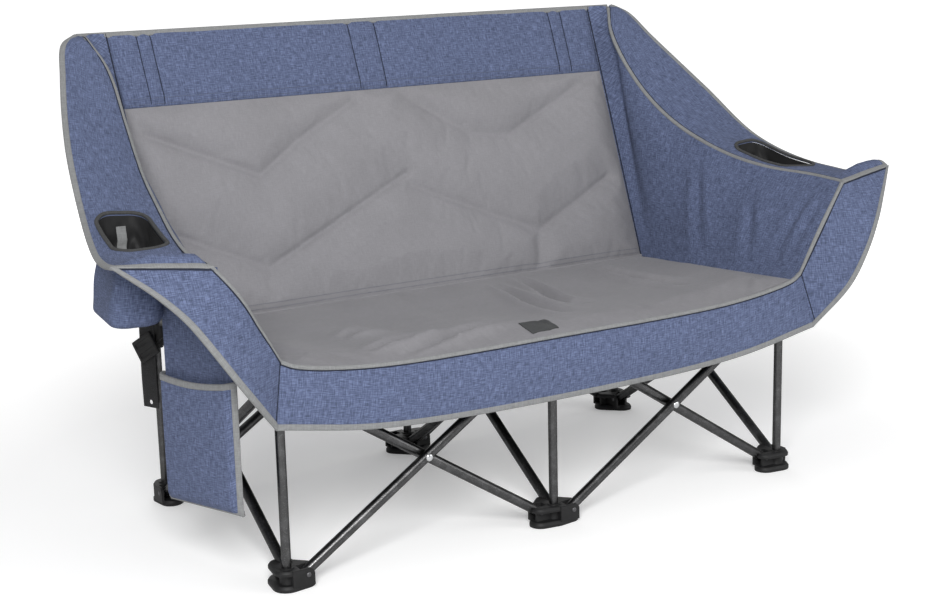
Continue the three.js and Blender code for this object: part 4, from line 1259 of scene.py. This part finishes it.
class LOVESEAT_OT_hubs(bpy.types.Operator):
    """Moulded hubs with softened edges, from the frame's own shapes, and the rivets of the crossings"""

    bl_idname = "loveseat.hubs"
    bl_label = "Hubs and rivets"

    def execute(self, context):
        for name in POSTS:
            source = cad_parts[name + "_hub"]
            hub = bpy.data.objects.new(name + "_hub_finish", source.data.copy())
            context.scene.collection.objects.link(hub)
            with editing(hub):
                bpy.ops.mesh.remove_doubles(threshold=2e-5)
                bpy.ops.mesh.dissolve_limited(angle_limit=math.radians(1))
            bevel(hub, 0.0010, 2, 40)
            coat(hub, coated("plastic"), 40)
            place_piece(hub, name + "_upper", [name + "_hub"])
        for name, (first, second, side, _, link, _) in CROSSINGS.items():
            low, high, _, sideways = tube_ends(first, second, side)
            centre = (low + high) / 2 - sideways * side * TUBE_SIDE
            reach = sideways * RIVET_REACH
            ends = []
            for sign in (-1, 1):
                place = Vector(centre + reach * sign)
                ends.append(dome(f"{name}_head_{sign}", place, sideways * sign, RIVET_HEAD, coated("rivet")))
            shaft = cylinder(RIVET_SHAFT, centre - reach, centre + reach, 20)
            shaft.data.materials.append(coated("rivet"))
            rivet = join(name + "_rivet_finish", ends + [shaft])
            place_piece(rivet, link, [name + "_rivet"])
        return {"FINISHED"}


# Cloth pieces


def stitches(name, path, up, material, pitch, gap=0.4):
    """Row of sewn stitches lying on a path, each a low pointed grain."""
    length = distances(path)
    count = max(int(length[-1] / pitch), 2)
    verts, faces = [], []
    radius = pitch * 0.15
    for k in range(count):
        mid = (k + 0.5) * length[-1] / count
        half = pitch * (1 - gap) / 2
        a, b = between(mid - half, length, path), between(mid + half, length, path)
        n = between(mid, length, up)
        along = (b - a) / max(np.linalg.norm(b - a), 1e-9)
        side = np.cross(n, along)
        base = len(verts)
        verts.append(a)
        for share in (0.25, 0.75):
            ring = a + (b - a) * share
            for q in range(6):
                angle = math.pi * q / 3
                verts.append(ring + radius * (side * math.cos(angle) + n * math.sin(angle)))
        verts.append(b)
        for q in range(6):
            r = (q + 1) % 6
            faces.append((base, base + 1 + r, base + 1 + q))
            faces.append((base + 1 + q, base + 1 + r, base + 7 + r, base + 7 + q))
            faces.append((base + 7 + q, base + 7 + r, base + 13))
    obj = make_object(name, verts, faces)
    obj.data.materials.append(material)
    recalculate(obj)
    return obj


def settle(points, pinned, pressure, cap, frames=14):
    """Points of a grid of cloth, held where pinned is 1, after it swells in a short cloth run."""
    rows, cols = points.shape[:2]
    faces = []
    for j in range(rows - 1):
        for i in range(cols - 1):
            faces.append((j * cols + i, j * cols + i + 1, (j + 1) * cols + i + 1, (j + 1) * cols + i))
    obj = make_object("settling cloth", points.reshape(-1, 3), faces)
    group = obj.vertex_groups.new(name="held")
    weights = pinned.ravel()
    for index in np.nonzero(weights > 0)[0]:
        group.add([int(index)], float(weights[index]), "REPLACE")
    activate(obj)
    modifier = obj.modifiers.new("Cloth", "CLOTH")
    cloth = modifier.settings
    cloth.quality = 6
    cloth.mass = 0.25
    cloth.tension_stiffness = 18
    cloth.compression_stiffness = 18
    cloth.shear_stiffness = 8
    cloth.bending_stiffness = 0.6
    cloth.vertex_group_mass = "held"
    cloth.pin_stiffness = 4
    cloth.use_pressure = True
    cloth.uniform_pressure_force = pressure
    cloth.shrink_min = -0.006
    cloth.effector_weights.gravity = 0
    modifier.collision_settings.use_collision = False
    scene = bpy.context.scene
    modifier.point_cache.frame_end = frames
    for step in range(1, frames + 1):
        scene.frame_set(step)
    bpy.ops.object.modifier_apply(modifier="Cloth")
    moved = np.array([v.co for v in obj.data.vertices]).reshape(points.shape)
    bpy.data.objects.remove(obj, do_unlink=True)
    scene.frame_set(1)
    shift = moved - points
    size = np.linalg.norm(shift, axis=-1, keepdims=True)
    return points + shift * np.minimum(1, cap / np.maximum(size, 1e-9))


def upright_sleeve(post):
    """Black cloth sleeve over the top of a rear upright."""
    corner, top = upright_ends(post)
    along = (top - corner) / np.linalg.norm(top - corner)
    side = np.cross(along, (1.0, 0.0, 0.0))
    side = side / np.linalg.norm(side)
    turn = np.linspace(0, 2 * math.pi, 32, endpoint=False)
    ring = np.outer(np.cos(turn), np.cross(side, along)) + np.outer(np.sin(turn), side)
    radius = sizes().post_diameter / 2
    wave = 1 + 0.03 * np.sin(3 * turn)[:, None]
    drops = np.concatenate([[-0.0026, -0.0018, 0.0], np.linspace(0.004, SLEEVE_LENGTH, 16)])
    shares = np.concatenate([[0.55, 0.86, 1.0], np.ones(16)])
    outer = [top - along * d + ring * wave * (radius + 0.0019) * s for d, s in zip(drops, shares)]
    inner = [top - along * (d + 0.0016) + ring * (radius + 0.0004) * s for d, s in zip(drops, shares)]
    return bag_shell(post + "_sleeve", np.array(outer), np.array(inner), [woven("black"), woven("black")])


class LOVESEAT_OT_back(bpy.types.Operator):
    """Padded back with sewn chevrons and its blue top band"""

    bl_idname = "loveseat.back"
    bl_label = "Back"

    def execute(self, context):
        rows, cols, band_rows = 97, 241, 29
        u = np.linspace(0, 1, cols)
        seam = (BAND_SEAM_Z - SEAT_REAR[2]) / BACK_RISE + 0 * u
        share = np.linspace(0, 1, rows)[:, None]
        pad = back_plane(np.broadcast_to(u, (rows, cols)), share * seam)
        x, z = pad[..., 0], pad[..., 2]
        reaches = [line_reach(x, z, line)[0] for line in CHANNELS]
        away = np.min(reaches, axis=0)
        fade = edge_fade(rows, cols, (0.035, 0.06))
        lift = sizes().back_swell * (1 - np.exp(-(away / BACK_RISE_RUN) ** 2)) * fade
        lift += 0.0022 * ripple(x, z, 3, 0.16) * fade * (1 - np.exp(-(away / 0.02) ** 2))
        lift += 0.0010 * ripple(x, z, 8, 0.05) * fade * np.exp(-(away / 0.06) ** 2)
        front = moved_out(pad, lift)
        pinned = np.exp(-(away / 0.004) ** 2)
        pinned[[0, -1], :] = 1
        pinned[:, [0, -1]] = 1
        front = settle(front, np.where(pinned > 0.3, 1.0, 0.0), 2.5, SETTLE_CAP)
        uneven = 0.65 + 0.5 * ripple(x, z, 17, 0.2)
        for reach, depth in zip(reaches, CHANNEL_DEPTHS):
            cut = depth * np.exp(-(reach / SEWN_WIDTH) ** 2) * np.clip(uneven, 0.1, 1)
            front = front - normals(pad) * (cut * fade)[..., None]
        rear = pad - normals(pad) * BACK_THICK
        cushion = shell("back_cushion", front, rear, [woven("grey"), woven("blue")])
        place_piece(cushion, "rear_centre_upper", ["back_panel"], "back")

        share = np.linspace(0, 1, band_rows)[:, None]
        top = back_plane(np.broadcast_to(u, (band_rows, cols)), seam + share * (1 - seam))
        x, z = top[..., 0], top[..., 2]
        line = np.min([np.abs(x - column) for column in BAND_FOLDS], axis=0)
        fade = edge_fade(band_rows, cols, (0.02, 0.16))
        lift = BAND_SWELL * fade - BAND_FOLD_DEPTH * np.exp(-(line / BAND_FOLD_WIDTH) ** 2)
        lift = lift + 0.0012 * ripple(x, z, 5, 0.12) * fade
        rear = top - normals(top) * BACK_THICK
        top = moved_out(top, lift)
        band = shell("back_top_band", top, rear, [woven("blue")])
        bevel(band, 0.003, 3, 60)
        place_piece(band, "rear_centre_upper", gather="back")

        right = np.array((BACK_TOP, BINDING_END))
        ends = [*(right[::-1] * (-1, 1, 1)), *right]
        t = np.linspace(0, 1, 40, endpoint=False)
        path = np.vstack([straight(a, b)(t) for a, b in zip(ends, ends[1:])])
        down = np.tile(-BACK_LEAN, (len(path), 1))
        face = np.tile(np.array((0, -BACK_LEAN[2], BACK_LEAN[1])), (len(path), 1))
        path = path + down * TOP_BINDING_DOWN - face * TOP_BINDING_IN
        tape = sweep("back_top_binding", path, down, face, rounded(*TOP_BINDING, 5), woven("binding"))
        place_piece(tape, "rear_centre_upper", gather="back")

        rows, seams = [], []
        pitch = sizes().stitch_pitch
        n, m = normals(top), normals(front)
        across = np.broadcast_to((1.0, 0.0, 0.0), top[1:-1, 0].shape)
        for k, column in enumerate(BAND_FOLDS):
            i = int(np.argmin(np.abs(x[band_rows // 2] - column)))
            fold, up = top[1:-1, i], n[1:-1, i]
            rows.append(stitches(f"fold_{k}", fold, up, coated("thread"), pitch))
            # dark line in each fold, partly a seam and partly painted shade in the crease
            seams.append(seam_and_shade_line(f"fold_seam_{k}", fold + up * 0.0005, across, up, 0.0, 0.0015))
        seams = join("back_fold_seams", seams)
        place_piece(seams, "rear_centre_upper", gather="back")
        for label, points, ups, lines in (("band", top, n, (1, 3)), ("seat", front, m, (2, 4))):
            for k, row in enumerate(lines):
                up = ups[row, 2:-2]
                path = points[row, 2:-2] + up * SEWN_RISE
                rows.append(stitches(f"{label}_seam_{k}", path, up, coated("thread"), pitch))
        rows = join("back_stitching", rows)
        place_piece(rows, "rear_centre_upper", gather="back")

        for post in ("rear_left", "rear_centre", "rear_right"):
            sleeve = upright_sleeve(post)
            place_piece(sleeve, post + "_upper")
        return {"FINISHED"}


class LOVESEAT_OT_seat(bpy.types.Operator):
    """Padded seat in two halves that meet at its fold, and the small patch on its front"""

    bl_idname = "loveseat.seat"
    bl_label = "Seat"

    def execute(self, context):
        cols, rows = 177, 81
        base = grid(seat_plane, cols - 1, rows - 1, 0.008, 0.999)
        x, y = base[..., 0], base[..., 1]
        fade = edge_fade(rows, cols, (0.05, 0.12))
        lift = sizes().seat_swell * fade
        lift += 0.0040 * ripple(x, y, 21, 0.22) * fade + 0.0007 * ripple(x, y, 4, 0.06) * fade
        front = moved_out(base, lift)
        held = np.zeros((rows, cols))
        held[[0, -1], :] = 1
        held[:, [0, -1]] = 1
        front = settle(front, held, 1.2, SETTLE_CAP)
        folds = SEAT_FOLD * soft_folds(x, y, SEAT_CREASES, SEAT_FOLD_WIDTH)
        front = front + normals(base) * (folds * fade)[..., None]
        rear = base - normals(base) * SEAT_THICK
        half = rows // 2
        for name, part in (("front", slice(0, half + 1)), ("rear", slice(half, rows))):
            pad = shell(f"seat_{name}_cushion", front[part], rear[part], [woven("grey"), woven("black")])
            place_piece(pad, f"seat_{name}", [f"seat_{name}_half"], "seat")
        cord = base[-1] + (0, -0.0012, 0.0022)
        level = np.broadcast_to((0.0, 1.0, 0.0), cord.shape)
        upright = np.broadcast_to((0.0, 0.0, 1.0), cord.shape)
        cord = sweep("seat_rear_piping", cord, level, upright, rounded(0.0062, 0.0062, 2.0), woven("grey"))
        place_piece(cord, "seat_rear", gather="seat")
        tree = BVHTree.FromObject(bpy.data.objects["seat_front_cushion"], context.evaluated_depsgraph_get())
        cols, rows = 33, 25
        label = np.zeros((rows, cols, 3))
        for j in range(rows):
            for i in range(cols):
                px = PATCH_CENTRE[0] + PATCH_SIZE[0] * (i / (cols - 1) - 0.5)
                py = PATCH_CENTRE[1] + PATCH_SIZE[1] * (j / (rows - 1) - 0.5)
                label[j, i] = tree.ray_cast(Vector((px, py, 0.6)), Vector((0, 0, -1)))[0]
        edge = edge_fade(rows, cols, (0.09, 0.11))
        rise = 0.0014 + 0.0009 * (1 - edge) * np.minimum(1, edge * 6 + 0.3)
        label = moved_out(label, rise)
        patch = cloth_shell("seat_patch", label, [coated("patch")], 0.0016)
        place_piece(patch, "seat_front", gather="seat")
        return {"FINISHED"}


class LOVESEAT_OT_band(bpy.types.Operator):
    """Front band below the seat, with its bindings and a dark line below its top piping, partly seam and
    partly painted shade
    """

    bl_idname = "loveseat.band"
    bl_label = "Front band"

    def execute(self, context):
        face = grid(band_face, 200, 24)
        fade = edge_fade(25, 201, (0.02, 0.2))
        lift = 0.0016 * ripple(face[..., 0], face[..., 2], 12, 0.14) * fade
        face = moved_out(face, lift)
        band = cloth_shell("front_band_cloth", face, [woven("blue")])
        cut_sheet(face)
        place_piece(band, "front_centre_upper", ["front_band"], "band")
        n = normals(face)
        tapes = []
        for name, row, near, push, share in (("hem", 0, 1, 0.0, 1.0), ("piping", -1, -2, 0.001, 0.66)):
            side = unit(face[near] - face[row])
            path = face[row] - n[row] * CLOTH / 2 + side * BINDING_IN + n[row] * push
            section = rounded(sizes().binding_width * share, BAND_BINDING_THICK)
            tapes.append(sweep(name, path, side, n[row], section, woven("binding")))
        tapes = join("front_band_binding", tapes)
        # dark line below the top piping, partly a seam and partly painted shade under the piping
        seam = seam_and_shade_line("front_band_seam", face[-1], face[-2] - face[-1], n[-1], 0.0068, 0.0022)
        place_piece(seam, "front_centre_upper", gather="band")
        place_piece(tapes, "front_centre_upper", gather="band")
        return {"FINISHED"}


def even_run(path, vectors, spacing=0.004):
    """A path at even spacing with its turns eased, and the vectors that go with it."""
    run = distances(path)
    spots = np.linspace(0, run[-1], int(run[-1] / spacing) + 1)
    eased = []
    for values in (path, *vectors):
        values = between(spots, run, values)
        padded = np.concatenate([values[:1], values[:1], values, values[-1:], values[-1:]])
        weights = (1, 2, 3, 2, 1)
        values[2:-2] = sum(w * padded[k:k + len(values)] for k, w in enumerate(weights))[2:-2] / sum(weights)
        eased.append(values)
    return eased


def seam_and_shade_line(name, path, inward, up, away, width):
    """Dark strip beside a binding, also used along folds: partly a seam, partly painted shade in the gap
    there.
    """
    inward = unit(inward)
    return sweep(name, path + inward * away, inward, up, rounded(width, SEAM_SHADE_THICK, 4), woven("seam"))


def tape_along(name, path, inward, up, share=1.0):
    """Edge binding folded over a cloth edge: path is the edge, inward points into the cloth."""
    inward = unit(inward)
    centre = path + inward * BINDING_IN - up * CLOTH / 2
    section = rounded(sizes().binding_width * share, BINDING_THICK)
    return sweep(name, centre, inward, up, section, woven("binding"))


def cup_pieces(side, sign, top):
    """Rim of a cup opening and the lined pouch that hangs below it."""
    tree = BVHTree.FromObject(top, bpy.context.evaluated_depsgraph_get())

    def on_strip(growth):
        spots, ups = [], []
        for x, y in cup_outline(sign, growth):
            hit, normal, _, _ = tree.ray_cast(Vector((x, y, 0.75)), Vector((0, 0, -1)))
            spots.append(tuple(hit))
            ups.append(tuple(normal))
        return np.array(spots), np.array(ups)

    ring, ups = on_strip(RIM_OUT)
    out = -unit(ring - on_strip(RIM_OUT + 0.0023)[0])
    section = rounded(*RIM_SECTION)
    rim = sweep(side + "_cup_rim", ring + ups * 0.0002, out, ups, section, woven("rim"), closed=True)
    lip = ring[:, 2] - LIP_DROP

    profile = [
        (POUCH_OUT - POUCH_EDGE * (1 - math.sin(a)), POUCH_EDGE * (1 - math.cos(a)))
        for a in np.linspace(0, math.pi / 2, 8)
    ]
    shares = np.linspace(0, 1, 26)[1:]
    outer, inner = [], []
    count = len(ring)
    turn = np.linspace(0, 2 * math.pi, count, endpoint=False)
    for grow, rise in profile:
        level = np.full(count, POUCH_FLOOR + rise)
        outer.append(np.column_stack([cup_outline(sign, grow), level]))
        inner.append(np.column_stack([cup_outline(sign, grow - LINING_IN), level + LINING_RISE]))
    middle = np.array((*(CUP_CENTRE * (sign, 1)), 0.0))

    def leaning(rings):
        rings = np.array(rings)
        rings[..., 0] += sign * POUCH_LEAN * np.maximum(ARM_Z - 0.004 - rings[..., 2], 0)
        return rings

    for share in shares:
        z = POUCH_FLOOR + POUCH_EDGE + share * (lip - POUCH_FLOOR - POUCH_EDGE)
        fade = math.sin(math.pi * share)
        wall = np.column_stack([cup_outline(sign, POUCH_OUT), z])
        away = unit((wall - middle) * (1, 1, 0))
        bulge = 0.0022 * np.sin(3 * turn + 4 * share) + 0.0014 * np.sin(7 * turn - 9 * share)
        outer.append(wall + away * (fade * bulge)[:, None])
        crease = 0.0042 * np.abs(np.sin(5 * turn + 7 * share))
        crease += 0.0030 * np.abs(np.sin(9 * turn - 13 * share))
        crease += 0.0030 * np.abs(np.sin(3 * turn - 16 * share))
        inner.append(wall - away * (0.0040 + fade * (0.0010 + crease))[:, None])
    lining = leaning(inner)
    pouch = bag_shell(side + "_cup_pouch_cloth", leaning(outer), lining, [woven("blue"), woven("lining")])
    return rim, pouch, lining


def cup_hole(sign):
    """Block with rounded corners that cuts a cup opening."""
    low, high = -CUP_SIZE / 2, CUP_SIZE / 2
    hole = block((*low, 0.48), (*high, 0.70))
    with editing(hole, "DESELECT"):
        bpy.ops.mesh.select_mode(type="EDGE")
        work = bmesh.from_edit_mesh(hole.data)
        for edge in work.edges:
            if abs(edge.verts[0].co.z - edge.verts[1].co.z) > 0.1:
                edge.select = True
        bmesh.update_edit_mesh(hole.data)
        bpy.ops.mesh.bevel(offset=CUP_CORNER, segments=10, affect="EDGES")
    hole.rotation_euler = (0, 0, sign * CUP_TURN)
    hole.location = (sign * CUP_CENTRE[0], CUP_CENTRE[1], 0)
    apply_place(hole)
    return hole


def bag_shell(name, outer, inner, materials):
    """Bag open on top, with its own lining, from rings of points that go up."""
    rows, cols = outer.shape[:2]
    count = rows * cols
    length = run_lengths(outer, 0)
    turn = run_lengths(outer, 1)
    uvs = [(turn[rows // 2, i], length[j, i]) for j in range(rows) for i in range(cols)] * 2
    verts = list(outer.reshape(-1, 3)) + list(inner.reshape(-1, 3))
    at = lambda layer, j, i: layer * count + j * cols + i % cols
    faces, slots = [], []
    for j in range(rows - 1):
        for i in range(cols):
            faces.append((at(0, j, i), at(0, j, i + 1), at(0, j + 1, i + 1), at(0, j + 1, i)))
            faces.append((at(1, j, i), at(1, j + 1, i), at(1, j + 1, i + 1), at(1, j, i + 1)))
            slots += [0, 1]
    for i in range(cols):
        faces.append((at(0, rows - 1, i), at(0, rows - 1, i + 1), at(1, rows - 1, i + 1), at(1, rows - 1, i)))
        slots.append(1)
    for layer, ring in ((0, outer[0]), (1, inner[0])):
        verts.append(ring.mean(axis=0))
        uvs.append((0.0, 0.0))
        for i in range(cols):
            tri = (at(layer, 0, i), at(layer, 0, i + 1), len(verts) - 1)
            faces.append(tri[::-1] if layer == 0 else tri)
            slots.append(layer)
    obj = make_object(name, verts, faces, uvs, slots)
    for material in materials:
        obj.data.materials.append(material)
    recalculate(obj)
    smooth(obj, 60)
    return obj


class LOVESEAT_OT_arms(bpy.types.Operator):
    """Arm tops with their cup openings, inner arm panels, wings and their bindings"""

    bl_idname = "loveseat.arms"
    bl_label = "Arms"

    def execute(self, context):
        for side, sign in (("left", -1), ("right", 1)):
            turn = on_left if sign < 0 else (lambda points: points)
            body = side + "_arm_link"
            strip = turn(grid(arm_strips[sign], 30, 150))
            fade = edge_fade(151, 31, (0.3, 0.05))
            waves = ripple(strip[..., 0], strip[..., 1] + strip[..., 2], 31, 0.11)
            lift = ARM_SWELL * fade + 0.0018 * waves * fade
            strip = moved_out(strip, lift)
            top = cloth_shell(side + "_arm_top_cloth", strip, [woven("blue")])
            union(top, cup_hole(sign), "DIFFERENCE")
            smooth(top, 50)
            cut_sheet(strip)
            place_piece(top, body, [side + "_arm_top"], side)

            inner = turn(grid(arm_panel, 110, 60))
            fade = edge_fade(61, 111, (0.06, 0.12))
            lift = 0.0060 * ripple(inner[..., 1], inner[..., 2] * 0.3, 44 + sign, 0.17) * fade
            folds = soft_folds(inner[..., 1], inner[..., 2], PANEL_FOLDS, PANEL_FOLD_WIDTH)
            lift += PANEL_FOLD * fade * folds
            inner = moved_out(inner, lift)
            slope = (sign * 0.49, 0, 0.87)
            panel = cloth_shell(side + "_arm_inner_cloth", inner, [woven("blue")], CLOTH, ((0, 1, 0), slope))
            cut_sheet(inner)
            place_piece(panel, body, [side + "_arm_inner"], side)
            k = normals(inner)
            rear = 0 if inner[30, 0, 1] > inner[30, -1, 1] else -1
            near = 1 if rear == 0 else -2
            # dark line where the panel meets the back, partly a seam and partly painted shade in that corner
            seam = inner[:, near] - inner[:, rear]
            seam = seam_and_shade_line(side + "_panel_seam", inner[:, rear], seam, k[:, rear], 0.0030, 0.0030)
            place_piece(seam, body, gather=side)

            face = turn(grid(arm_wing, 44, 56))
            fade = edge_fade(57, 45, (0.2, 0.15))
            lift = WING_SWELL * fade + 0.0018 * ripple(face[..., 0], face[..., 2], 52 + sign, 0.1) * fade
            face = moved_out(face, lift)
            wing = cloth_shell(side + "_wing_cloth", face, [woven("blue")], CLOTH, ((1, 0, 0), (0, 0, 1)))
            cut_sheet(face)
            place_piece(wing, body, [side + "_wing"], side)

            n = normals(strip)
            m = normals(face)
            first, last = (0, -1) if sign > 0 else (-1, 0)
            step = 1 if first == 0 else -1
            nose = slice(None, None, -step)
            edge = np.concatenate([strip[::-1, last], strip[0, nose][1:]])
            into = [(strip[:, last - step] - strip[:, last])[::-1], (strip[1] - strip[0])[nose][1:]]
            over = np.concatenate([n[::-1, last], n[0, nose][1:]])
            edge, into, over = even_run(edge, (unit(np.concatenate(into)), over))
            arm = strip[:, first], strip[:, first + step] - strip[:, first], n[:, first]
            inside = face[:, first], face[:, first + step] - face[:, first], m[:, first]
            outside = face[:, last], face[:, last - step] - face[:, last], m[:, last]
            tapes = [
                tape_along("edge", edge, into, unit(over)), tape_along("inner", *arm, 0.75),
                tape_along("wing_out", *outside), tape_along("wing_in", *inside, 0.75),
            ]
            tapes = join(side + "_arm_binding", tapes)
            place_piece(tapes, body, gather=side)
            front_edge = face[-1, 1:-1], (face[-2] - face[-1])[1:-1], m[-1, 1:-1]
            # the band seam is a dark seam; the nose line is a painted shadow under the nose binding, and the
            # wing and arm lines are painted shade beside their bindings
            seams = [
                seam_and_shade_line("band_seam", face[1], face[2] - face[1], m[1], 0.0, 0.0022),
                seam_and_shade_line("nose_seam", *front_edge, 0.0062, 0.0055),
                seam_and_shade_line("wing_seam", *inside, 0.0070, 0.0032),
                seam_and_shade_line("arm_seam", *arm, 0.0066, 0.0024),
            ]
            place_piece(join(side + "_arm_seams", seams), body, gather=side)

            rim, pouch, lining = cup_pieces(side, sign, top)
            place_piece(rim, body, gather=side)
            place_piece(pouch, body, [side + "_cup_pouch"], side)
            if side == "left":
                wall = lining[8:30, 15]
                inwards = unit(np.array((*(CUP_CENTRE * (sign, 1)), 0)) - wall * (1, 1, 0))
                across = np.cross(inwards, (0.0, 0.0, 1.0))
                section = rounded(0.016, 0.0018, 6)
                tab = sweep("cup_tab", wall + inwards * 0.0022, across, inwards, section, woven("binding"))
                place_piece(tab, body, gather=side)
        return {"FINISHED"}


class LOVESEAT_OT_pocket(bpy.types.Operator):
    """Magazine pocket that hangs below the left arm"""

    bl_idname = "loveseat.pocket"
    bl_label = "Pocket"

    def execute(self, context):
        swing = math.asin(POCKET_SWING / POCKET_WIDTH)
        along = np.array((-math.sin(swing), math.cos(swing), POCKET_SINK / POCKET_WIDTH))
        out = np.array((-math.cos(swing), -math.sin(swing), 0))
        up = np.array((0, 0, 1))

        def bag(u, v):
            swell = 0.005 * np.sin(np.pi * u) * np.sin(np.pi * np.clip(v * 0.9, 0, 1))
            bulge = POCKET_DEPTH - 0.003 + swell
            edge = np.minimum(1, np.minimum(u, 1 - u) * 16) ** 0.5 * np.minimum(1, v * 14) ** 0.5
            reach = 0.0036 + (bulge - 0.0036) * edge
            place = POCKET_CORNER + along * (u * POCKET_WIDTH)[..., None] + out * reach[..., None]
            sag = 0.007 * np.sin(np.pi * u) * v ** 4
            return place + up * (v * POCKET_HEIGHT - sag)[..., None]

        def backing(u, v):
            rise = v * BACKING_HEIGHT
            start = 0.032 * np.clip((rise - POCKET_HEIGHT) / 0.05, 0, 1)
            stop = POCKET_WIDTH - 0.006 - 0.050 * np.clip((rise - 0.325) / 0.030, 0, 1)
            run = start + u * (stop - start)
            return POCKET_CORNER + along * run[..., None] + out * 0.0034 + up * rise[..., None]

        front = grid(bag, 48, 46)[:, ::-1]
        pouch = cloth_shell("pocket_front_cloth", front, [woven("blue")], POCKET_CLOTH)
        cut_sheet(front)
        place_piece(pouch, "left_arm_link", ["magazine_pocket"], "left")
        rear = grid(backing, 30, 60)[:, ::-1]
        back = cloth_shell("pocket_backing_cloth", rear, [woven("blue")], POCKET_CLOTH)
        cut_sheet(rear)
        place_piece(back, "left_arm_link", gather="left")

        n = normals(front)
        rows = [
            tape_along("left", front[:, 0], front[:, 1] - front[:, 0], n[:, 0]),
            tape_along("right", front[:, -1], front[:, -2] - front[:, -1], n[:, -1]),
            tape_along("low", front[0], front[1] - front[0], n[0]),
            tape_along("mouth", front[-1], front[-2] - front[-1], n[-1]),
        ]
        tapes = join("pocket_binding", rows)
        place_piece(tapes, "left_arm_link", gather="left")
        return {"FINISHED"}


class LOVESEAT_OT_strap(bpy.types.Operator):
    """Carry strap looped on the left rear upright, with its buckle"""

    bl_idname = "loveseat.strap"
    bl_label = "Carry strap"

    def execute(self, context):
        turn, count = STRAP_TURN, 60
        out = np.array((math.cos(turn), math.sin(turn), 0))
        side = np.array((-math.sin(turn), math.cos(turn), 0))
        axis = post_axis("rear_left")
        place = lambda r, s, z: axis + out * r + side * s + np.array((0, 0, z))
        angle = np.linspace(0, 2 * math.pi, 49)[:-1] + turn
        spread = np.stack([np.cos(angle), np.sin(angle), 0 * angle], axis=1)
        loop = axis + spread * LOOP_RADIUS + (0, 0, LOOP_Z)
        up = np.broadcast_to((0.0, 0.0, 1.0), loop.shape)
        ring = sweep("loop", loop, up, spread, rounded(LOOP_WIDTH, WEBBING, 6), woven("black"), closed=True)
        line = spline([place(*spot) for spot in STRAP_TAIL])
        path = line(np.linspace(0, 1, count))
        tangent = unit(np.gradient(path, axis=0))
        lateral = np.tile(side, (count, 1))
        face = np.cross(tangent, lateral)
        tail = sweep("tail", path, lateral, face, rounded(TAIL_WIDTH, WEBBING, 6), woven("black"))
        eyelet = cylinder(EYELET_RADIUS, place(0.015, 0.0, EYELET_Z), place(0.030, 0.0, EYELET_Z), 24)
        union(tail, eyelet, "DIFFERENCE")
        strap = join("carry_strap_webbing", [ring, tail])
        place_piece(strap, "rear_left_upper", ["carry_strap"])

        plate = block(-BUCKLE_HALF, BUCKLE_HALF)
        bevel(plate, 0.0045, 4, 40)
        half_width, half_height = BUCKLE_SLOT_HALF
        for z in BUCKLE_SLOTS_Z:
            low, high = (BUCKLE_SLOT_LOW, -half_width, z - half_height), (0.01, half_width, z + half_height)
            union(plate, block(low, high), "DIFFERENCE")
        union(plate, cylinder(BUCKLE_BAR_RADIUS, (0, -BUCKLE_BAR_HALF, 0), (0, BUCKLE_BAR_HALF, 0), 20))
        bevel(plate, 0.0007, 2, 40)
        plate.rotation_euler = (BUCKLE_TILT, 0, turn)
        plate.location = Vector(place(*BUCKLE_PLACE))
        apply_place(plate)
        plate.name = "strap_buckle_finish"
        coat(plate, coated("plastic"), 35)
        place_piece(plate, "rear_left_upper", ["strap_buckle"])
        return {"FINISHED"}


class LOVESEAT_PT_panel(bpy.types.Panel):
    """Lists the pieces of the loveseat"""

    bl_label = "Loveseat"
    bl_idname = "LOVESEAT_PT_panel"
    bl_space_type = "VIEW_3D"
    bl_region_type = "UI"
    bl_category = "Loveseat"

    def draw(self, context):
        for group in (context.scene.loveseat_sizes, context.scene.loveseat_colours):
            for key in group.__annotations__:
                self.layout.prop(group, key)
        for operator in OPERATORS:
            self.layout.operator(operator.bl_idname)


OPERATORS = (
    LOVESEAT_OT_stage, LOVESEAT_OT_tubes, LOVESEAT_OT_feet, LOVESEAT_OT_hubs, LOVESEAT_OT_back,
    LOVESEAT_OT_seat, LOVESEAT_OT_band, LOVESEAT_OT_arms, LOVESEAT_OT_pocket, LOVESEAT_OT_strap,
)
CLASSES = (LoveseatSizes, LoveseatColours, *OPERATORS, LOVESEAT_PT_panel)


def register():
    for cls in CLASSES:
        bpy.utils.register_class(cls)
    bpy.types.Scene.loveseat_sizes = PointerProperty(type=LoveseatSizes)
    bpy.types.Scene.loveseat_colours = PointerProperty(type=LoveseatColours)


def unregister():
    del bpy.types.Scene.loveseat_colours
    del bpy.types.Scene.loveseat_sizes
    for cls in reversed(CLASSES):
        bpy.utils.unregister_class(cls)


def main():
    register()
    for operator in OPERATORS:
        group, name = operator.bl_idname.split(".")
        getattr(getattr(bpy.ops, group), name)()


if __name__ == "__main__":
    main()
